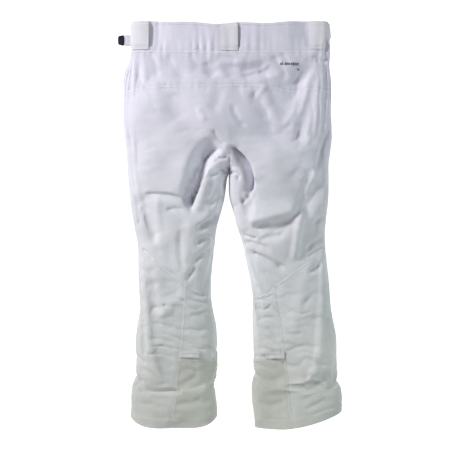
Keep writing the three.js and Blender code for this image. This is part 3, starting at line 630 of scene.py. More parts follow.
# Folds on the back, in millimetres: depth (a ridge is negative), its reach to the left and to the
# right of the way it runs, and the line that it follows as (x, z).
BACK_FOLDS = (
    (9, 80, 45, ((116, -600), (120, -700), (128, -820), (160, -1000))),
    (5, 60, 50, ((-126, -600), (-130, -700), (-134, -820), (-140, -1000))),
    (5.5, 14, 12, ((-60, -100), (-50, -120), (-35, -142))),
    (-3.3, 10, 10, ((-32, -100), (-20, -120), (-5, -142))),
    (4.4, 7, 10, ((-30, -85), (-5, -88), (22, -98))),
    (5.5, 9, 14, ((-15, -105), (8, -115), (35, -118), (70, -110), (102, -98))),
    (6.6, 5, 13, ((28, -140), (52, -135), (82, -125), (110, -115))),
    (4.4, 6, 12, ((22, -128), (58, -122), (92, -110))),
    (6.6, 8, 10, ((108, -82), (125, -110), (148, -140))),
    (4.4, 5, 8, ((130, -78), (140, -95), (152, -110))),
    (5.5, 5, 9, ((210, -82), (228, -100), (252, -92))),
    (4.4, 12, 14, ((-158, -80), (-138, -115), (-105, -150))),
    (3.3, 8, 9, ((-198, -75), (-182, -110), (-178, -145))),
    (3.3, 9, 9, ((-98, -78), (-88, -95), (-68, -120))),
    (6.2, 4, 8, ((10, -205), (18, -235), (45, -265))),
    (-3.7, 7, 7, ((-78, -218), (-68, -235), (-55, -252))),
    (-3.7, 5, 7, ((92, -160), (80, -178), (68, -195))),
    (6.2, 26, 24, ((-142, -175), (-138, -215), (-122, -255))),
    (36, 160, 40, ((176, -325), (178, -225), (172, -100))),
    (9.4, 32, 10, ((-75, -120), (0, -138), (65, -140), (132, -118))),
    (4.9, 10, 16, ((52, -175), (82, -205), (108, -240))),
    (4.9, 12, 18, ((-18, -165), (-25, -195), (-38, -235))),
    (35.4, 6, 30, ((-8, -312), (-35, -325), (-58, -348), (-68, -375), (-78, -415), (-95, -475))),
    (6.2, 3, 8, ((-42, -270), (-28, -290), (-5, -312))),
    (9, 4, 5, ((-18, -332), (-50, -352), (-65, -378), (-75, -410), (-95, -470))),
    (-6.2, 10, 10, ((-50, -375), (-60, -405), (-68, -435), (-82, -475))),
    (31.2, 5, 15, ((-8, -315), (15, -318), (40, -340), (55, -365), (60, -398), (50, -435))),
    (-3.7, 22, 5, ((18, -310), (48, -330), (68, -370), (70, -405))),
    (9, 4, 4, ((-32, -358), (-12, -370), (15, -370), (28, -380), (20, -395))),
    (4.9, 3, 4, ((-50, -382), (-32, -375), (-10, -375))),
    (4.9, 3, 5, ((-38, -332), (-18, -338), (-5, -330))),
    (3.7, 3, 4, ((-2, -322), (2, -335), (0, -345))),
    (6.2, 5, 8, ((28, -445), (40, -438), (52, -425))),
    (6.2, 12, 5, ((-52, -458), (-38, -440), (-20, -425))),
    (9, 4, 12, ((-215, -428), (-172, -428), (-142, -432), (-112, -440))),
    (4.9, 3, 8, ((-158, -468), (-135, -460), (-110, -465))),
    (9, 18, 20, ((-232, -425), (-215, -465), (-198, -505), (-172, -550))),
    (-3.7, 9, 9, ((-178, -420), (-175, -482), (-170, -558))),
    (3.7, 6, 8, ((-118, -510), (-120, -565), (-110, -625))),
    (-4.9, 14, 16, ((-92, -482), (-100, -540), (-102, -600))),
    (10.5, 4, 12, ((-80, -510), (-58, -492), (-25, -468))),
    (9, 4, 11, ((-85, -548), (-62, -528), (-32, -522))),
    (9, 5, 11, ((-90, -595), (-68, -572), (-40, -558))),
    (6.2, 5, 9, ((-105, -638), (-95, -622), (-80, -602))),
    (4.9, 3, 6, ((-215, -560), (-202, -570), (-185, -588))),
    (4.9, 3, 8, ((-220, -612), (-200, -618), (-180, -615))),
    (3.7, 3, 7, ((-205, -652), (-190, -645), (-172, -648))),
    (3.2, 4, 10, ((-222, -675), (-198, -698), (-172, -710), (-152, -715))),
    (-3.2, 12, 12, ((-178, -740), (-148, -710), (-102, -665))),
    (2.6, 4, 8, ((-185, -742), (-160, -750), (-132, -758))),
    (2, 3, 6, ((-220, -755), (-205, -750), (-188, -752))),
    (2.6, 4, 8, ((-202, -785), (-172, -780), (-132, -795))),
    (3.2, 3, 6, ((-105, -652), (-90, -670), (-72, -675), (-42, -670))),
    (2.6, 3, 6, ((-102, -678), (-80, -690), (-42, -695))),
    (2.6, 3, 6, ((-98, -725), (-72, -720), (-40, -710))),
    (2.6, 3, 6, ((-105, -755), (-78, -762), (-48, -760))),
    (2.6, 3, 6, ((-92, -800), (-65, -810), (-40, -798))),
    (3.2, 3, 7, ((-232, -818), (-218, -830), (-198, -842))),
    (3.2, 5, 12, ((-222, -848), (-192, -868), (-145, -900))),
    (2.6, 4, 9, ((-232, -918), (-200, -922), (-172, -935))),
    (2, 4, 8, ((-232, -948), (-198, -948), (-152, -955))),
    (3.2, 5, 12, ((-132, -905), (-108, -895), (-75, -875))),
    (3.2, 6, 12, ((-132, -940), (-98, -948), (-62, -930))),
    (2.6, 5, 10, ((-128, -865), (-98, -860), (-58, -865))),
    (-16.6, 26, 11, ((42, -498), (72, -485), (108, -478), (140, -472), (178, -460))),
    (9, 8, 22, ((52, -512), (92, -502), (138, -500), (170, -492))),
    (-9, 12, 9, ((185, -458), (175, -490), (168, -530), (158, -600))),
    (10, 22, 16, ((182, -488), (195, -460), (212, -435), (228, -395))),
    (5, 12, 10, ((172, -458), (185, -435), (198, -405), (205, -365))),
    (-4.9, 6, 10, ((218, -370), (205, -405), (192, -435))),
    (6.2, 7, 8, ((260, -265), (248, -300), (232, -335), (220, -375))),
    (4.9, 4, 8, ((190, -565), (208, -548), (238, -530))),
    (4.9, 4, 7, ((192, -580), (218, -565), (238, -552))),
    (4.9, 4, 8, ((208, -505), (222, -492), (240, -478))),
    (6.2, 4, 8, ((192, -620), (215, -608), (235, -585))),
    (6.2, 3, 7, ((32, -522), (50, -530), (70, -535))),
    (6.2, 4, 8, ((32, -540), (68, -545), (108, -565))),
    (10.5, 4, 10, ((40, -565), (75, -575), (108, -590), (140, -615))),
    (4.9, 5, 9, ((70, -540), (98, -530), (138, -525))),
    (3.2, 3, 5, ((65, -650), (82, -670), (95, -668), (108, -655))),
    (2.6, 3, 5, ((68, -670), (85, -685), (108, -670))),
    (2.6, 3, 6, ((65, -702), (82, -715), (105, -695))),
    (3.9, 4, 12, ((175, -702), (192, -685), (212, -672), (248, -665))),
    (2.6, 4, 8, ((88, -750), (102, -770), (120, -790))),
    (2.6, 4, 7, ((62, -740), (82, -730), (108, -732))),
    (2.6, 4, 8, ((128, -770), (152, -772), (188, -770))),
    (3.2, 4, 9, ((128, -818), (160, -810), (192, -798), (228, -805))),
    (2.6, 4, 8, ((68, -800), (92, -810), (122, -815))),
    (2.6, 4, 8, ((168, -850), (180, -862), (198, -880))),
    (3.2, 5, 9, ((202, -902), (222, -895), (242, -880))),
    (3.2, 5, 10, ((168, -942), (198, -930), (232, -918), (270, -905))),
    (2.6, 4, 8, ((182, -965), (212, -955), (242, -942))),
    (2.6, 5, 9, ((72, -885), (102, -890), (135, -875))),
    (2.6, 5, 9, ((75, -940), (108, -950), (142, -935))),
    (2.6, 4, 8, ((198, -740), (222, -730), (252, -735))),
    (2.6, 4, 8, ((208, -830), (232, -840), (262, -830))),
)

# Folds on the front, of the same kind.
FRONT_FOLDS = (
    (4, 14, 22, ((-22, -225), (-70, -300), (-135, -345), (-200, -360))),
    (4, 22, 14, ((22, -225), (72, -300), (140, -350), (205, -362))),
    (6, 10, 22, ((-10, -325), (-45, -360), (-85, -430), (-95, -520))),
    (6, 22, 10, ((10, -325), (45, -360), (88, -430), (100, -520))),
    (-5, 20, 20, ((-205, -250), (-180, -360), (-150, -480))),
    (-5, 20, 20, ((205, -250), (180, -360), (165, -480))),
    (5, 8, 16, ((-235, -500), (-150, -512), (-40, -495))),
    (5, 8, 16, ((40, -492), (150, -514), (245, -500))),
    (6, 8, 16, ((-232, -575), (-150, -590), (-45, -570))),
    (6, 8, 16, ((50, -575), (150, -592), (245, -574))),
    (6, 8, 16, ((-235, -655), (-150, -668), (-40, -648))),
    (6, 8, 16, ((55, -655), (160, -670), (252, -652))),
    (5, 8, 14, ((-235, -725), (-160, -735), (-40, -722))),
    (5, 8, 14, ((60, -725), (160, -738), (262, -722))),
    (4, 8, 14, ((-238, -800), (-180, -812), (-90, -806))),
    (4, 8, 14, ((120, -800), (200, -816), (270, -806))),
    (4, 8, 14, ((-230, -880), (-160, -888), (-60, -876))),
    (4, 8, 14, ((85, -876), (190, -892), (268, -880))),
    (4, 14, 16, ((-105, -90), (-118, -180), (-150, -260))),
    (4, 16, 14, ((105, -90), (120, -180), (152, -260))),
)


def along_line(points, line):
    """Signed distance from a line (positive on its right) and a fade at its ends, at (x, z) points."""
    corners = np.array(line, float) * MM
    fine = corners
    for _ in range(3):  # corner cutting turns the few points into a smooth line
        cut = [fine[0]]
        for p, q in zip(fine[:-1], fine[1:]):
            cut += [p * 0.75 + q * 0.25, p * 0.25 + q * 0.75]
        fine = np.array(cut + [fine[-1]])
    lengths = np.concatenate([[0], np.cumsum(np.linalg.norm(np.diff(fine, axis=0), axis=1))])
    best = np.full(len(points), 1e9)
    signed = np.full(len(points), 1e9)
    share = np.zeros(len(points))
    for i in range(len(fine) - 1):
        p, q = fine[i], fine[i + 1]
        way = q - p
        t = np.clip(((points - p) @ way) / (way @ way), 0, 1)
        away = points - (p + t[:, None] * way)
        distance = np.linalg.norm(away, axis=1)
        cross = way[0] * away[:, 1] - way[1] * away[:, 0]
        nearer = distance < best
        best[nearer] = distance[nearer]
        signed[nearer] = (-np.sign(cross) * distance)[nearer]
        share[nearer] = ((lengths[i] + t * np.linalg.norm(way)) / lengths[-1])[nearer]
    fade = step(share, 0.0, 0.2) * step(1 - share, 0.0, 0.2)
    return signed, fade


LARGE_FOLD = 10


def fold_depth(points, folds):
    """How far out of the surface each (x, z) point stands, from a list of folds."""
    total = np.zeros(len(points))
    for depth, left, right, line in folds:
        signed, fade = along_line(points, line)
        reach = np.where(signed < 0, left, right) * MM * 1.5
        tent = np.clip(1 - np.abs(signed) / reach, 0, 1)
        total -= depth * MM * fade * (0.45 * tent + 0.55 * tent * tent * (3 - 2 * tent))
    return total


def waves(points, seed, scale, count=24):
    """A smooth random field, as a sum of sine waves of about the given wavelength."""
    random = np.random.default_rng(seed)
    total = np.zeros(len(points))
    for _ in range(count):
        way = random.normal(size=3)
        way /= np.linalg.norm(way)
        number = 2 * math.pi / (scale * random.uniform(0.7, 1.4))
        total += np.sin(points @ way * number + random.uniform(0, 2 * math.pi))
    return total / math.sqrt(count)


def creases(p, seed, spacing, slant=0.0):
    """Wandering creases across the cloth, sharp in the valleys, strong in some places and absent
    in others."""
    phase = 2 * math.pi * (p[:, 2] + slant * p[:, 0]) / spacing
    phase = phase + 2.6 * waves(p * np.array([1, 1, 0.7]), seed, 0.15) + 1.1 * waves(p, seed + 11, 0.055)
    valley = 0.35 - np.exp(-np.abs(np.sin(phase / 2)) / 0.32)
    places = np.clip(0.25 + 0.75 * waves(p * np.array([1, 1, 1.4]), seed + 23, 0.10), 0, 1.3)
    return valley * places


def shape_cloth(cloth):
    """The cloth with its large folds only, and how far its small folds lift each point."""
    p = cloth.points
    normal = cloth.normals()
    back = normal[:, 1] < 0
    flat = p[:, [0, 2]]
    drop = -p[:, 2]
    facing = step(np.abs(normal[:, 1]), 0.10, 0.60)
    lifts = []
    for chosen in (lambda fold: abs(fold[0]) > LARGE_FOLD, lambda fold: abs(fold[0]) <= LARGE_FOLD):
        lift = np.zeros(len(p))
        lift[back] = fold_depth(flat[back], [fold for fold in BACK_FOLDS if chosen(fold)])
        lift[~back] = fold_depth(flat[~back], [fold for fold in FRONT_FOLDS if chosen(fold)])
        lifts.append(lift * facing)
    large, small = lifts
    loose = step(drop, BAND, BAND + 0.06)
    leg = step(drop, 0.36, 0.46)
    calf = step(drop, 0.56, 0.66) * (1 - 0.8 * step(drop, 0.88, 0.96))
    inner = leg * step(0.20 - np.abs(p[:, 0]), 0.0, 0.16)
    large += loose * 0.0030 * waves(p * np.array([1, 1, 0.9]), SEED, 0.11)
    small += loose * 0.0004 * waves(p * np.array([0.8, 1, 1.6]), SEED + 1, 0.036)
    small += 0.0046 * calf * creases(p, SEED + 31, 0.040)
    small += 0.0028 * calf * creases(p, SEED + 57, 0.024, 0.2)
    small += 0.0036 * inner * creases(p, SEED + 77, 0.046, 0.0)
    small += 0.0022 * loose * creases(p, SEED + 91, 0.075, 0.5)
    small *= 0.25 + 0.75 * facing
    small += gathers(p, drop)
    return hang(p + normal * large[:, None], drop), small


def gathers(p, drop):
    """Small upright pleats that the waist elastic draws up, fading out below the band."""
    ripple = waves(p * np.array([1, 0.3, 0.12]), SEED + 2, 0.017)
    slow = 0.5 + 0.5 * waves(p * np.array([1, 0, 0]), SEED + 3, 0.09)
    shirring = np.exp(-((drop - BAND) / 0.030) ** 2) * 0.0026 + (drop < BAND) * 0.0012
    yoke = np.exp(-((drop - 0.162) / 0.012) ** 2) * 0.0012
    return ripple * (shirring * np.clip(slow, 0.2, 1.4) + yoke)


def hang(p, drop):
    """The band sags between the hanger's grips, and the hems curve and tilt."""
    p = p.copy()
    grip = 0.185
    x = p[:, 0]
    near_top = 1 - step(drop, 0.0, 0.16)
    p[:, 2] += 0.007 * np.exp(-(((x - 0.07) / 0.07) ** 2)) * np.exp(-(((drop - 0.158) / 0.04) ** 2))
    sag = np.clip(1 - (x / grip) ** 2, 0, 1)
    p[:, 2] -= 0.0075 * sag * near_top
    p[:, 2] += 0.0022 * np.sin(x / 0.021) * sag * (1 - step(drop, 0, 0.05))
    pinch = np.exp(-(((np.abs(x) - grip) / 0.024) ** 2)) * (1 - step(drop, 0.0, 0.12))
    p[:, 1] *= 1 - 0.45 * pinch
    low = step(drop, 0.88, LENGTH)
    p[:, 2] += 0.004 * low * (p[:, 1] > 0)
    left = x < 0
    from_left = np.abs((x + 0.138) / 0.106)
    p[:, 2] += np.where(left, low * (0.022 * np.clip(from_left, 0, 1.2) ** 5 - 0.003), 0)
    from_right = np.clip((x - 0.13) / 0.150, 0, 1.2)
    p[:, 2] += np.where(~left, low * (0.040 * from_right**1.7 - 0.006), 0)
    return p


# ---------------------------------------------------------------- cloth simulation


def drape(cloth, goal):
    """Lets the cloth buckle around its goal: it is cut a little too big, as sewn cloth is. Every
    second row and column of the grid is simulated, and the movement is carried to the rest."""
    coarse = {key: ids[::FINE, ::FINE] for key, ids in cloth.ids.items()}
    used, index = np.unique(np.concatenate([ids.ravel() for ids in coarse.values()]), return_inverse=True)
    faces, start = [], 0
    for (side, face), ids in coarse.items():
        local = index.reshape(-1)[start:start + ids.size].reshape(ids.shape)
        start += ids.size
        a, b, c, d = local[:-1, :-1], local[:-1, 1:], local[1:, 1:], local[1:, :-1]
        order = (a, b, c, d) if side * face < 0 else (d, c, b, a)
        faces.append(np.stack([part.ravel() for part in order], axis=1))
    faces = [list(dict.fromkeys(quad)) for quad in np.concatenate(faces).tolist()]
    points, base, normal = goal[used], cloth.points[used], cloth.normals()[used]
    moved = simulate(points, faces, -base[:, 2], normal)
    shift = np.zeros_like(goal)
    shift[used] = moved - points
    away = np.zeros_like(goal)
    for key, ids in coarse.items():
        away[cloth.ids[key]] = finer(shift[ids])
    return away


def finer(grid):
    """A grid with a smooth in-between row and column added between each two."""
    for axis in (0, 1):
        grid = np.swapaxes(grid, 0, axis)
        ends = np.concatenate([grid[:1], grid, grid[-1:]])
        middle = (ends[1:-2] + ends[2:-1]) * 0.5625 - (ends[:-3] + ends[3:]) * 0.0625
        out = np.empty((2 * len(grid) - 1, *grid.shape[1:]))
        out[::2], out[1::2] = grid, middle
        grid = np.swapaxes(out, 0, axis)
    return grid


def simulate(points, faces, drop, normal):
    mesh = bpy.data.meshes.new("drape")
    mesh.from_pydata(points.tolist(), [], faces)
    obj = bpy.data.objects.new("drape", mesh)
    bpy.context.collection.objects.link(obj)
    held = 0.08 + 0.92 * (1 - step(drop, BAND - 0.012, BAND + 0.03))
    held += 0.12 * normal[:, 0] ** 2
    held += 0.8 * step(drop, LENGTH - 0.11, LENGTH - 0.03)
    group = obj.vertex_groups.new(name="held")
    for i, weight in enumerate(np.clip(held, 0, 1)):
        group.add([i], float(weight), "REPLACE")
    obj.shape_key_add(name="Basis")
    cut = obj.shape_key_add(name="cut")
    longer = 1 + 0.022 * step(drop, 0.20, 0.5) + 0.012 * step(drop, 0.6, 0.8)
    bigger = points * np.array([1.002, 1.0, 1.0])
    bigger[:, 2] *= longer
    cut.data.foreach_set("co", bigger.ravel())
    modifier = obj.modifiers.new("cloth", "CLOTH")
    settings = modifier.settings
    settings.quality = 5
    settings.mass = 0.25
    settings.tension_stiffness = 18
    settings.compression_stiffness = 18
    settings.shear_stiffness = 6
    settings.bending_stiffness = 0.7
    settings.tension_damping = 6
    settings.compression_damping = 6
    settings.air_damping = 2.0
    settings.vertex_group_mass = "held"
    settings.pin_stiffness = 1.0
    settings.rest_shape_key = cut
    settings.effector_weights.gravity = 0.5
    modifier.collision_settings.use_collision = False
    modifier.collision_settings.use_self_collision = False
    frames = 24
    modifier.point_cache.frame_start, modifier.point_cache.frame_end = 1, frames
    scene = bpy.context.scene
    for number in range(1, frames + 1):
        scene.frame_set(number)
    shown = obj.evaluated_get(bpy.context.evaluated_depsgraph_get())
    moved = np.empty(len(points) * 3)
    shown.data.vertices.foreach_get("co", moved)
    scene.frame_set(1)
    bpy.data.objects.remove(obj)
    return moved.reshape(-1, 3)


def settle(cloth, goal):
    """The simulated cloth, kept within a few millimetres of its goal."""
    away = drape(cloth, goal)
    size = np.linalg.norm(away, axis=1, keepdims=True)
    most = 0.008
    return goal + away * np.minimum(1, most / np.maximum(size, 1e-9))


# ---------------------------------------------------------------- panels cut from the cloth


def new_piece(name, mesh, body, nodes=(), material=None):
    obj = bpy.data.objects.new(name, mesh)
    bpy.context.collection.objects.link(obj)
    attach(obj, body)
    if nodes:
        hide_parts(*nodes)
    if material:
        mesh.materials.append(material)
    return obj


def store(mesh, name, values):
    layer = mesh.attributes.new(name, "FLOAT", "POINT")
    layer.data.foreach_set("value", np.asarray(values, np.float32))


def set_uv(mesh, u, v):
    layer = mesh.uv_layers.new(name="cloth")
    corners = np.empty(len(mesh.loops), int)
    mesh.loops.foreach_get("vertex_index", corners)
    layer.data.foreach_set("uv", np.stack([u[corners], v[corners]], axis=1).astype(np.float32).ravel())


def smooth_and_thicken(obj, levels, thickness, offset=-1.0):
    """Gives a sheet its thickness, and keeps its cut edges sharp so that seams shade evenly."""
    if levels:
        smooth = obj.modifiers.new("smooth", "SUBSURF")
        smooth.levels = smooth.render_levels = levels
    solid = obj.modifiers.new("thickness", "SOLIDIFY")
    solid.thickness = thickness
    solid.offset = offset
    solid.use_even_offset = False
    shown = obj.evaluated_get(bpy.context.evaluated_depsgraph_get())
    mesh = bpy.data.meshes.new_from_object(shown)
    obj.modifiers.clear()
    obj.data = mesh
    mesh.shade_smooth()
    mesh.set_sharp_from_angle(angle=math.radians(60))


class Cutter:
    """Cuts panels out of the settled cloth."""

    def __init__(self, cloth, points):
        self.cloth = cloth
        self.points = points
        self.normal = cloth.normals(points)

    def panel(self, name, cells, material, slot, inset=0.0, thickness=0.003, seams="tblr", nodes=None):
        """cells are (side, face, first row, last row, first column, last column). seams names the
        stitched edges: top, bottom, left (towards the side seam) and right (towards the middle)."""
        cloth = self.cloth
        faces = np.concatenate([cloth.quads(*cell) for cell in cells])
        used, index = np.unique(faces, return_inverse=True)
        place = self.points[used] - self.normal[used] * inset
        mesh = bpy.data.meshes.new(name)
        mesh.from_pydata(place.tolist(), [], index.reshape(faces.shape).tolist())
        lookup = np.full(len(self.points), -1)
        lookup[used] = np.arange(len(used))
        u, v = np.zeros(len(used)), np.zeros(len(used))
        over, down, edge = (np.full(len(used), 1.0) for _ in range(3))
        first = min(cell[2] for cell in cells)
        last = max(cell[3] for cell in cells)
        for side, face, r0, r1, c0, c1 in cells:
            ids = lookup[cloth.ids[(side, face)][r0:r1 + 1, c0:c1 + 1]]
            across = cloth.length_across[(side, face)][r0:r1 + 1, c0:c1 + 1]
            fall = cloth.length_down[(side, face)][r0:r1 + 1, c0:c1 + 1]
            u[ids], v[ids] = side * across, fall
            tops = fall - fall[:1] if "t" in seams and r0 == first else np.full(fall.shape, 1.0)
            lows = fall[-1:] - fall if "b" in seams and r1 == last else np.full(fall.shape, 1.0)
            lefts = across - across[:, :1] if "l" in seams else np.full(fall.shape, 1.0)
            seat = face == BACK and r0 == ROW_YOKE
            sewn = "r" in seams and c1 in (COLUMNS, CALF_COLUMN) and not seat
            rights = across[:, -1:] - across if sewn else np.full(fall.shape, 1.0)
            over[ids] = np.minimum(over[ids], tops)
            down[ids] = np.minimum(down[ids], lefts)
            edge[ids] = np.minimum(edge[ids], np.minimum(lows, rights))
        store(mesh, "seam_across", over)
        store(mesh, "seam_down", down)
        store(mesh, "seam_edge", edge)
        set_uv(mesh, u, v)
        mesh.shade_smooth()
        obj = new_piece(name, mesh, "pants", nodes or (name,), material)
        smooth_and_thicken(obj, 0, thickness)
        return obj

    def sample(self, side, face, across, drop):
        """Points and normals of the settled cloth at shares across and drops, for what lies on it."""
        ids = self.cloth.ids[(side, face)]
        shares, drops = GRID[side]
        across, drop = np.broadcast_arrays(np.asarray(across, float), np.asarray(drop, float))
        spots, outs = [], []
        for a, d in zip(across.ravel(), drop.ravel()):
            column = np.interp(a, shares[np.abs(drops[:, COLUMNS // 2] - d).argmin()], np.arange(COLUMNS + 1))
            c = int(min(column, COLUMNS - 1))
            row = np.interp(d, drops[:, c], np.arange(len(drops)))
            r = int(min(row, ROW_END - 1))
            s, t = row - r, column - c
            weights = (
                (r, c, (1 - s) * (1 - t)),
                (r, c + 1, (1 - s) * t),
                (r + 1, c, s * (1 - t)),
                (r + 1, c + 1, s * t),
            )
            spots.append(sum(self.points[ids[i, j]] * w for i, j, w in weights))
            outs.append(sum(self.normal[ids[i, j]] * w for i, j, w in weights))
        outs = np.array(outs)
        outs /= np.linalg.norm(outs, axis=1, keepdims=True)
        shape = across.shape + (3,)
        return np.array(spots).reshape(shape), outs.reshape(shape)


def pinch_seams(cloth, points):
    """Draws the cloth in along every seam, with small puckers beside it."""
    normal = cloth.normals(points)
    depth = np.zeros(len(points))
    rows = {
        BACK: (ROW_BAND, ROW_YOKE, ROW_KNEE_BACK, ROW_HEM),
        FRONT: (ROW_BAND, ROW_KNEE_TOP, ROW_KNEE_LOW, ROW_HEM),
    }
    profile = ((0, 1.0), (1, 0.15), (2, -0.45), (3, -0.45), (4, -0.2))
    for (side, face), ids in cloth.ids.items():
        columns = [(0, ROW_BAND, 0.4), (COLUMNS, ROW_YOKE, 0.2)]
        if face == BACK:
            columns.append((CALF_COLUMN, ROW_KNEE_BACK, 0.9))
        for row in rows[face]:
            last = CALF_COLUMN if (row, face) == (ROW_HEM, BACK) else COLUMNS + 1
            for away, share in profile:
                for near in {row - away, row + away}:
                    if 0 < near < ROW_END:
                        along = cloth.length_across[(side, face)][row, :last]
                        ripple = 1 + 0.9 * np.sin(along / 0.0026 + row)
                        depth[ids[near, :last]] += share * SEAM_DEPTH * (ripple if away else 1)
        for column, first, strength in columns:
            for away, share in profile:
                for near in {column - away, column + away}:
                    if 0 <= near <= COLUMNS:
                        along = cloth.length_down[(side, face)][first:, column]
                        ripple = 1 + 0.9 * np.sin(along / 0.0029 + column)
                        depth[ids[first:, near]] += share * strength * SEAM_DEPTH * (ripple if away else 1)
    return points - normal * depth[:, None]


def make_shell(cutter, cloth_of):
    """Every outer panel of the pants."""
    white, thigh, calf, guard = (cloth_of[k] for k in ("white", "thigh", "calf", "guard"))
    last = COLUMNS
    both = [(LEFT, BACK), (RIGHT, BACK)]
    band = [(s, f, ROW_TOP, ROW_BAND, 0, last) for s, f in both]
    cutter.panel("waistband_back", band, white, "shell_white", thickness=0.002, seams="tb")
    yoke = [(s, f, ROW_BAND, ROW_YOKE, 0, last) for s, f in both]
    cutter.panel("back_yoke", yoke, white, "shell_white", seams="tb")
    strip = FINE
    gusset_rows = (ROW_CROTCH_START + 3 * FINE, ROW_CROTCH)
    for name, side in SIDES:
        front_band = [(side, FRONT, ROW_TOP, ROW_BAND, 0, last)]
        band = f"waistband_front_{name}"
        cutter.panel(band, front_band, white, "shell_white", thickness=0.002, seams="tbr")
        first, lowest = gusset_rows
        seat = [
            (side, BACK, ROW_YOKE, first, 0, last),
            (side, BACK, first, lowest, 0, last - strip),
            (side, BACK, lowest, ROW_KNEE_BACK, 0, last),
        ]
        cutter.panel(f"back_thigh_{name}", seat, thigh, "shell_thigh")
        fly = last - 3
        fly_end = ROW_YOKE + 7 * FINE
        front = [
            (side, FRONT, ROW_BAND, fly_end, 0, fly),
            (side, FRONT, fly_end, first, 0, last),
            (side, FRONT, first, lowest, 0, last - strip),
            (side, FRONT, lowest, ROW_KNEE_TOP, 0, last),
        ]
        cutter.panel(f"front_thigh_{name}", front, thigh, "shell_thigh")
        knee = [(side, FRONT, ROW_KNEE_TOP, ROW_KNEE_LOW, 0, last)]
        cutter.panel(f"knee_panel_{name}", knee, calf, "shell_calf")
        shin = [(side, FRONT, ROW_KNEE_LOW, ROW_HEM, 0, last)]
        cutter.panel(f"shin_panel_{name}", shin, calf, "shell_calf")
        outer = [(side, BACK, ROW_KNEE_BACK, ROW_HEM, 0, CALF_COLUMN)]
        cutter.panel(f"calf_outer_{name}", outer, calf, "shell_calf")
        inner = [(side, BACK, ROW_KNEE_BACK, ROW_KICK, CALF_COLUMN, last)]
        cutter.panel(f"calf_inner_{name}", inner, calf, "shell_calf")
        kick = [(side, BACK, ROW_KICK, ROW_HEM, CALF_COLUMN, last)]
        cutter.panel(f"kick_panel_{name}", kick, guard, "guard_cloth")
        hem = [(side, f, ROW_HEM, ROW_END, 0, last) for f in (BACK, FRONT)]
        band = cutter.panel(f"hem_band_{name}", hem, calf, "shell_calf", seams="b")
        band.data.materials.append(guard)
        for i, polygon in enumerate(band.data.polygons):
            under_kick = i < (ROW_END - ROW_HEM) * last and i % last >= CALF_COLUMN
            polygon.material_index = 1 if under_kick else 0
    gusset = [(s, f, *gusset_rows, last - strip, last) for s in (LEFT, RIGHT) for f in (BACK, FRONT)]
    cutter.panel("crotch_gusset", gusset, thigh, "shell_thigh", seams="")


def make_inside(cutter, cloth_of):
    """Linings, facing, elastic, pocket bags and the fly shield, laid inside the shell."""
    lining, elastic = cloth_of["lining"], cloth_of["elastic"]
    last = COLUMNS
    back = [(s, BACK, FINE, ROW_BAND - FINE, FINE, last) for s in (LEFT, RIGHT)]
    cutter.panel("waist_elastic_back", back, elastic, "elastic_cream", 0.0032, 0.0014, "")
    cutter.panel("waistband_facing_back", back, lining, "lining_cloth", 0.0056, 0.0012, "tb")
    rows = (ROW_BAND + FINE, ROW_CROTCH_START - FINE)
    ring = [(s, f, *rows, 0, last) for s in (LEFT, RIGHT) for f in (BACK, FRONT)]
    cutter.panel("seat_lining", ring, lining, "lining_cloth", 0.0105, 0.0012, "")
    for name, side in SIDES:
        leg = [(side, f, ROW_CROTCH + 2 * FINE, ROW_KICK - 6 * FINE, 0, last) for f in (BACK, FRONT)]
        cutter.panel(f"leg_lining_{name}", leg, lining, "lining_cloth", 0.0105, 0.0012, "")
        bag = [(side, FRONT, ROW_BAND + 4 * FINE, ROW_CROTCH_START, 12 * FINE, 25 * FINE)]
        cutter.panel(f"pocket_bag_{name}", bag, lining, "lining_cloth", 0.0055, 0.0018, "blr")
    shield = [(s, FRONT, ROW_BAND, ROW_YOKE + 8 * FINE, last - 3 * FINE, last) for s in (LEFT, RIGHT)]
    cutter.panel("fly_shield", shield, cloth_of["white"], "lining_cloth", 0.0052, 0.0014, "")


def make_gaiters(cloth_of):
    """Snow gaiters inside the legs, gathered into a band of grip elastic."""
    for name, side in SIDES:
        low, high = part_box(f"snow_gaiter_{name}")
        grip_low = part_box(f"gaiter_grip_{name}")[0][2]
        for part, top, bottom, rows, material, slot in (
            (f"snow_gaiter_{name}", -high[2], -low[2], 18, cloth_of["gaiter"], "gaiter_cloth"),
            (f"gaiter_grip_{name}", -low[2] + 0.001, -grip_low, 5, cloth_of["elastic"], "elastic_cream"),
        ):
            drops = np.linspace(top, bottom, rows + 1)
            turns = np.linspace(0, 1, 25)
            loop = [(BACK, t) for t in turns] + [(FRONT, t) for t in turns[::-1][1:-1]]
            points = []
            for drop in drops:
                deeper = 0.0055 * step(drop, -high[2], -high[2] + 0.05)
                into = {BACK: 0.022 + deeper, FRONT: 0.014 + deeper}
                ring = np.array([skin(side, face, t, drop, into[face]) for face, t in loop])
                ripple = 0.0016 * np.sin(np.arange(len(loop)) * 2.1) * step(drop, -high[2] + 0.03, -low[2])
                middle = ring.mean(axis=0)
                out = ring - middle
                out[:, 2] = 0
                ring = ring + out / np.linalg.norm(out, axis=1, keepdims=True) * ripple[:, None]
                points.append(ring)
            points = hang(np.concatenate(points), np.repeat(drops, len(loop)))
            count = len(loop)
            faces = [
                (r * count + c, r * count + (c + 1) % count,
                 (r + 1) * count + (c + 1) % count, (r + 1) * count + c)
                for r in range(rows) for c in range(count)
            ]
            if side > 0:
                faces = [face[::-1] for face in faces]
            mesh = bpy.data.meshes.new(part)
            mesh.from_pydata(points.tolist(), [], faces)
            index = np.arange(len(points))
            set_uv(mesh, (index % count) * 0.008, (index // count) * 0.01)
            mesh.shade_smooth()
            obj = new_piece(part, mesh, "pants", (part,), material)
            smooth_and_thicken(obj, 1, 0.0012)


# ---------------------------------------------------------------- straps and trims


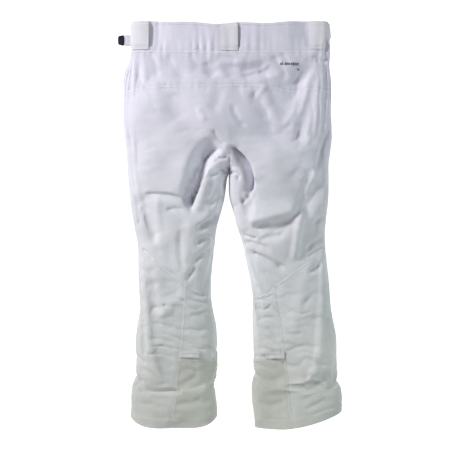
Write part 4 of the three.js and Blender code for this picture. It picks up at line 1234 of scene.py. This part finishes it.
def strap_mesh(name, grid, material):
    """A strap's sheet from a grid of points, with its seam distances and cloth UVs."""
    rows, columns = grid.shape[:2]
    mesh = bpy.data.meshes.new(name)
    index = np.arange(rows * columns).reshape(rows, columns)
    faces = [
        (index[r, c], index[r, c + 1], index[r + 1, c + 1], index[r + 1, c])
        for r in range(rows - 1) for c in range(columns - 1)
    ]
    mesh.from_pydata(grid.reshape(-1, 3).tolist(), [], faces)
    down = np.concatenate([[0], np.cumsum(np.linalg.norm(np.diff(grid[:, 0], axis=0), axis=1))])
    over = np.concatenate([[0], np.cumsum(np.linalg.norm(np.diff(grid[0], axis=0), axis=1))])
    v = np.repeat(down, columns)
    u = np.tile(over, rows)
    store(mesh, "seam_across", np.minimum(v, down[-1] - v))
    store(mesh, "seam_down", np.minimum(u, over[-1] - u))
    store(mesh, "seam_edge", np.full(len(v), 1.0))
    set_uv(mesh, u, v)
    mesh.shade_smooth()
    if material:
        mesh.materials.append(material)
    return mesh


def belt_loop(cutter, name, sides, face, spans, top, low, material, reach):
    """A wide elastic loop, sewn down at both ends and standing off the band between them."""
    rows = 22
    drops = np.linspace(top, low, rows + 1)
    v = np.linspace(0, 1, rows + 1)
    rise = step(v, 0.05, 0.15) * step(1 - v, 0.09, 0.20)
    stretches = []
    for side, (a0, a1) in zip(sides, spans):
        across = np.linspace(a0, a1, 9 if len(sides) == 1 else 6)
        over, down = np.meshgrid(across, drops)
        points, normals = cutter.sample(side, face, over, down)
        soft = normals.mean(axis=0, keepdims=True)
        soft = soft / np.linalg.norm(soft, axis=2, keepdims=True)
        off = 0.0024 + (reach - 0.0012) * rise
        stretches.append(points + soft * off[:, None, None])
    grid = stretches[0]
    if len(stretches) == 2:
        grid = np.concatenate([grid, stretches[1][:, ::-1][:, 1:]], axis=1)
    if (sides[0] * face) > 0:
        grid = grid[:, ::-1]
    mesh = strap_mesh(name, grid, material)
    obj = new_piece(name, mesh, "pants", (name,))
    smooth_and_thicken(obj, 0, 0.0018)
    return obj


def make_loops(cutter, cloth_of):
    elastic = cloth_of["elastic"]
    low, top = BAND - 0.001, 0.001
    reach = 0.0042
    at = lambda x: math.acos(min(x / 0.248, 1)) * 2 / math.pi
    belt_loop(cutter, "belt_loop_back_left", [LEFT], BACK, [(at(0.245), at(0.202))], top, low, elastic, reach)
    ends = [(at(0.236), at(0.198))]
    belt_loop(cutter, "belt_loop_back_right", [RIGHT], BACK, ends, top, low, elastic, reach)
    centre = [(at(0.022), 1), (at(0.022), 1)]
    belt_loop(cutter, "belt_loop_back_centre", [LEFT, RIGHT], BACK, centre, top, low, elastic, reach)
    for name, side in SIDES:
        loop = f"belt_loop_front_{name}"
        belt_loop(cutter, loop, [side], FRONT, [(at(0.138), at(0.100))], top, low, elastic, reach)
    ends = [(at(0.2472), at(0.2360))]
    belt_loop(cutter, "side_loop_right", [RIGHT], BACK, ends, top, 0.049, elastic, 0.0048)


def closed_strap(name, origin, along, up, out, length, height, thick, taper=0.0, corner=0.25, steps=14):
    """A rounded closed strap or tip: a superellipse section carried along its length."""
    points = []
    ring = 20
    for i in range(steps + 1):
        share = i / steps
        end = min(share, 1 - share)
        squeeze = 1 - (1 - min(end / 0.12, 1)) ** 2 * corner
        half = (height / 2 - taper * share) * squeeze
        for k in range(ring):
            angle = 2 * math.pi * k / ring
            c, s = math.cos(angle), math.sin(angle)
            a = half * math.copysign(abs(c) ** 0.35, c)
            b = thick / 2 * math.copysign(abs(s) ** 0.7, s)
            points.append(origin + along * (length * share) + up * a + out * b)
    faces = []
    for i in range(steps):
        for k in range(ring):
            n = (k + 1) % ring
            faces.append((i * ring + k, i * ring + n, (i + 1) * ring + n, (i + 1) * ring + k))
    faces.append(tuple(range(ring))[::-1])
    faces.append(tuple(range(steps * ring, (steps + 1) * ring)))
    mesh = bpy.data.meshes.new(name)
    mesh.from_pydata([tuple(p) for p in points], [], faces)
    index = np.arange(len(points))
    share = (index // ring) / steps
    angle = 2 * math.pi * (index % ring) / ring
    set_uv(mesh, np.cos(angle) * height / 2, share * length)
    store(mesh, "seam_across", np.minimum(share, 1 - share) * length)
    store(mesh, "seam_down", (1 - np.abs(np.cos(angle))) * height / 2)
    store(mesh, "seam_edge", np.full(len(points), 1.0))
    mesh.shade_smooth()
    return mesh


def outward(mesh):
    """Turns a closed mesh's faces so that they point out."""
    total = 0.0
    for polygon in mesh.polygons:
        total += polygon.center.dot(polygon.normal) * polygon.area
    if total < 0:
        mesh.flip_normals()


def make_adjusters(cloth_of):
    """Waist adjuster straps with dark moulded tips."""
    lean = {"left": math.radians(9), "right": math.radians(-15)}
    for name, side in SIDES:
        turn = Matrix.Rotation(lean[name], 3, "Z")
        along = turn @ Vector((-1, 0, 0))
        out = turn @ Vector((0, 1, 0))
        up = Vector((0, 0, 1))
        joint = next(j for j in frame["joints"] if j["name"] == f"adjuster_turn_{name}")
        root = Vector(joint["pos_m"])
        low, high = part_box(f"adjuster_strap_{name}")
        height = high[2] - low[2]
        strap = closed_strap("s", root, along, up, out, 0.0282, height * 0.96, 0.0024)
        outward(strap)
        body = f"adjuster_{name}"
        node = f"adjuster_strap_{name}"
        new_piece(f"{node}_cloth", strap, body, (node,), cloth_of["elastic"])
        start = root + along * 0.0274
        tip = closed_strap("t", start, along, up, out, 0.0158, height, 0.0034, taper=0.0035, corner=0.45)
        outward(tip)
        node = f"adjuster_tip_{name}"
        new_piece(f"{node}_rubber", tip, body, (node,), cloth_of["rubber"])
        for i in range(3):
            ridge_at = start + along * (0.005 + 0.003 * i) + out * 0.0016
            ridge = closed_strap("r", ridge_at, along, up, out, 0.0012, height * 0.6, 0.0012, steps=4)
            outward(ridge)
            new_piece(f"adjuster_ridge_{name}_{i}", ridge, body, (), cloth_of["rubber"])


def laid_strip(cutter, side, across, drops, off):
    """A grid of points a little above the settled cloth, smoother than the cloth is."""
    over, down = np.meshgrid(across, drops)
    points, normals = cutter.sample(side, BACK, over, down)
    out = normals.mean(axis=(0, 1))
    out /= np.linalg.norm(out)
    height = (points @ out).mean(axis=0)
    bend = np.polyfit(across, height, 2)
    level = np.polyval(bend, across) + 0.4 * (height - np.polyval(bend, across))
    lift = np.maximum(level[None, :], points @ out) - points @ out
    grid = points + (lift + off)[:, :, None] * out
    return grid if side < 0 else grid[:, ::-1]


# How far the hung cuff tabs lie above their places in the frame.
TAB_RAISED = {"left": 0.011, "right": 0.008}


def make_cuff_tabs(cutter, cloth_of):
    """Cuff tabs sewn into the calf seams, and the hook pads under them."""
    for name, side in SIDES:
        low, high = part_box(f"cuff_tab_{name}")
        raised = TAB_RAISED[name]
        drops = np.linspace(-high[2], -low[2], 9) - raised
        root = calf_seam(side, drops.mean()) + 0.004
        across = np.linspace(root, root + 0.174, 21)
        grid = laid_strip(cutter, side, across, drops, 0.0015)
        mesh = strap_mesh(f"cuff_tab_{name}", grid, cloth_of["tab"])
        node = f"cuff_tab_{name}"
        tab = new_piece(f"{node}_strap", mesh, node, (node,))
        smooth_and_thicken(tab, 0, 0.0016)
        pad_low, pad_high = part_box(f"cuff_hook_pad_{name}")
        drops = np.linspace(-pad_high[2], -pad_low[2], 7) - raised
        across = np.linspace(root + 0.075, root + 0.160, 11)
        grid = laid_strip(cutter, side, across, drops, 0.0004)
        mesh = strap_mesh(f"cuff_hook_pad_{name}", grid, cloth_of["hook"])
        pad = new_piece(f"cuff_hook_pad_{name}_tape", mesh, "pants", (f"cuff_hook_pad_{name}",))
        smooth_and_thicken(pad, 0, 0.0006, offset=1.0)


def make_flap(cloth_of):
    """The waist flap over the fly, lightly padded, on its hinge line."""
    low, high = (Vector(v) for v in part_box("waist_flap"))
    joint = next(j for j in frame["joints"] if j["name"] == "waist_flap_turn")
    centre = Vector(((low.x + high.x) / 2, joint["pos_m"][1], (low.z + high.z) / 2))
    length = high.x - low.x
    height = high.z - low.z
    start = Vector((high.x, centre.y, centre.z))
    axes = (Vector((-1, 0, 0)), Vector((0, 0, 1)), Vector((0, 1, 0)))
    sizes = (length, height, 0.0030)
    mesh = closed_strap("waist_flap_cloth", start, *axes, *sizes, corner=0.16, steps=26)
    outward(mesh)
    new_piece("waist_flap_cloth", mesh, "waist_flap", ("waist_flap",), cloth_of["white"])


def zip_frame(node, joint_name):
    """The zip's top point, its direction down, and the way out of the cloth, from the CAD frame."""
    joint = next(j for j in frame["joints"] if j["name"] == joint_name)
    down = Vector(joint["axis"]).normalized()
    pull = next(j for j in frame["joints"] if j["parent"] == joint["child"])
    across = Vector(pull["axis"]).normalized()
    out = down.cross(across).normalized()
    if out.y < 0:
        out = -out
    points = [Vector(v.co) for v in bpy.data.objects[node].data.vertices]
    heights = [p.dot(down) for p in points]
    first = min(heights)
    base = min(p.dot(out) for p in points)
    middle = sum((p.dot(across) for p in points)) / len(points)
    origin = down * first + out * base + across * middle
    return origin, down, across, out, max(heights) - first


def zip_mesh(name, node, joint_name, width, teeth_pitch=0.0024):
    """Tape, and two rows of moulded teeth that mesh in the middle."""
    origin, down, across, out, length = zip_frame(node, joint_name)
    points, faces = [], []

    def block(centre, half_down, half_across, half_out, pinch=0.8):
        start = len(points)
        for o, scale in ((-half_out, 1.0), (half_out, pinch)):
            for d, a in ((-1, -1), (1, -1), (1, 1), (-1, 1)):
                offset = down * (d * half_down * scale) + across * (a * half_across * scale)
                points.append(centre + offset + out * o)
        b = start
        for face in ((0, 1, 2, 3), (7, 6, 5, 4), (0, 4, 5, 1), (1, 5, 6, 2), (2, 6, 7, 3), (3, 7, 4, 0)):
            faces.append(tuple(b + k for k in face))

    for sign in (-1, 1):
        middle = sign * (width / 4 + 0.0004)
        segments = 30
        for i in range(segments):
            at = origin + down * (length * (i + 0.5) / segments) + across * middle + out * 0.0006
            block(at, length / segments / 2 * 1.0, width / 4 - 0.0006, 0.0004, 1.0)
    count = int(length / teeth_pitch)
    for i in range(count):
        for sign in (-1, 1):
            shift = 0.25 if sign > 0 else 0.75
            at = origin + down * (teeth_pitch * (i + shift)) + across * (sign * 0.0011) + out * 0.0018
            block(at, teeth_pitch * 0.27, 0.0019, 0.0009)
    mesh = bpy.data.meshes.new(name)
    mesh.from_pydata([tuple(p) for p in points], [], faces)
    outward(mesh)
    index = np.array([(p - origin).dot(across) for p in points])
    fall = np.array([(p - origin).dot(down) for p in points])
    set_uv(mesh, index, fall)
    store(mesh, "seam_across", np.full(len(points), 1.0))
    store(mesh, "seam_down", np.abs(np.abs(index) - width / 2))
    return mesh


def make_zips(cloth_of):
    fly = zip_mesh("fly_zip", "fly_zip", "fly_slide", 0.028)
    new_piece("fly_zip_chain", fly, "pants", ("fly_zip",), cloth_of["zip"])
    for name, side in SIDES:
        mesh = zip_mesh(f"pocket_zip_{name}", f"pocket_zip_{name}", f"pocket_slide_{name}", 0.012)
        node = f"pocket_zip_{name}"
        new_piece(f"{node}_chain", mesh, "pants", (node,), cloth_of["zip"])


def make_mark(cutter, cloth_of):
    """The small printed mark on the yoke: peaks and bars that spell nothing."""
    shapes = [((0, 0), (4, 0), (2, 7)), ((3, 0), (8, 0), (5.5, 9))]
    x = 11.0
    for wide in (5, 3, 6, 4, 5, 3, 6):
        shapes.append(((x, 0), (x + wide * 0.7, 0), (x + wide * 0.7 + 1, 5), (x + 1, 5)))
        x += wide + 0.6
    shapes.append(((44, -9), (50, -9), (50, -6), (44, -6)))
    points, faces = [], []
    at = lambda px: math.acos(px / 0.25) * 2 / math.pi
    for shape in shapes:
        start = len(points)
        for px, pz in shape:
            spot, normal = cutter.sample(RIGHT, BACK, at(0.126 + px * MM), 0.110 - pz * MM)
            points.append(spot + normal * 0.0012)
        faces.append(tuple(range(start, len(points))))
    mesh = bpy.data.meshes.new("rear_mark_print")
    mesh.from_pydata([tuple(p) for p in points], [], faces)
    set_uv(mesh, np.array([p[0] for p in points]), np.array([p[2] for p in points]))
    obj = new_piece("rear_mark_print", mesh, "pants", ("rear_mark",), cloth_of["print"])
    solid = obj.modifiers.new("thickness", "SOLIDIFY")
    solid.thickness = 0.0004


def finish_hardware(cloth_of):
    """The metal CAD parts keep their shape and get a real finish."""
    for node in frame["nodes"]:
        if any(word in node for word in ("slider", "pull", "press_stud")):
            mesh = bpy.data.objects[node].data
            mesh.materials.clear()
            mesh.materials.append(cloth_of["metal"])


# ---------------------------------------------------------------- build

make_camera()
make_studio()
cloth_of = {
    "white": cloth_material("shell_white", SHELL_TONE_AND_PAINTED_SHADE),
    "thigh": cloth_material("shell_thigh", SHELL_TONE_AND_PAINTED_SHADE),
    "calf": cloth_material("shell_calf", SHELL_TONE_AND_PAINTED_SHADE, dirt=0.07),
    "guard": cloth_material("guard_cloth", GUARD_SHADES, dirt=0.08, weave=0.0018, grain=1.2, roughness=0.7),
    "lining": cloth_material("lining_cloth", LINING_SHADES, stitched=False, grain=0.8, roughness=0.5),
    "gaiter": cloth_material("gaiter_cloth", LINING_SHADES, stitched=False, grain=0.8, roughness=0.45),
    "elastic": elastic_material("elastic_cream", (240, 238, 246)),
    "tab": cloth_material("tab_cloth", SHELL_TONE_AND_PAINTED_SHADE, weave=0.0016, grain=0.5),
    "zip": cloth_material("zip_tape", ((222, 222, 230), (222, 222, 230)), stitched=False, weave=0.0014),
    "rubber": rubber_material("tip_navy", (24, 20, 44)),
    "hook": hook_material("hook_tape", (196, 198, 200)),
    "print": rubber_material("print_grey", (92, 94, 104)),
    "metal": metal_material("nickel", (188, 190, 194)),
}
cloth = Cloth()
goal, small_folds = shape_cloth(cloth)
hung = settle(cloth, goal)
folded = hung + cloth.normals(hung) * small_folds[:, None]
settled = pinch_seams(cloth, folded)
cutter = Cutter(cloth, settled)
make_shell(cutter, cloth_of)
make_inside(cutter, cloth_of)
make_gaiters(cloth_of)
make_loops(cutter, cloth_of)
make_adjusters(cloth_of)
make_cuff_tabs(cutter, cloth_of)
make_flap(cloth_of)
make_zips(cloth_of)
make_mark(cutter, cloth_of)
finish_hardware(cloth_of)
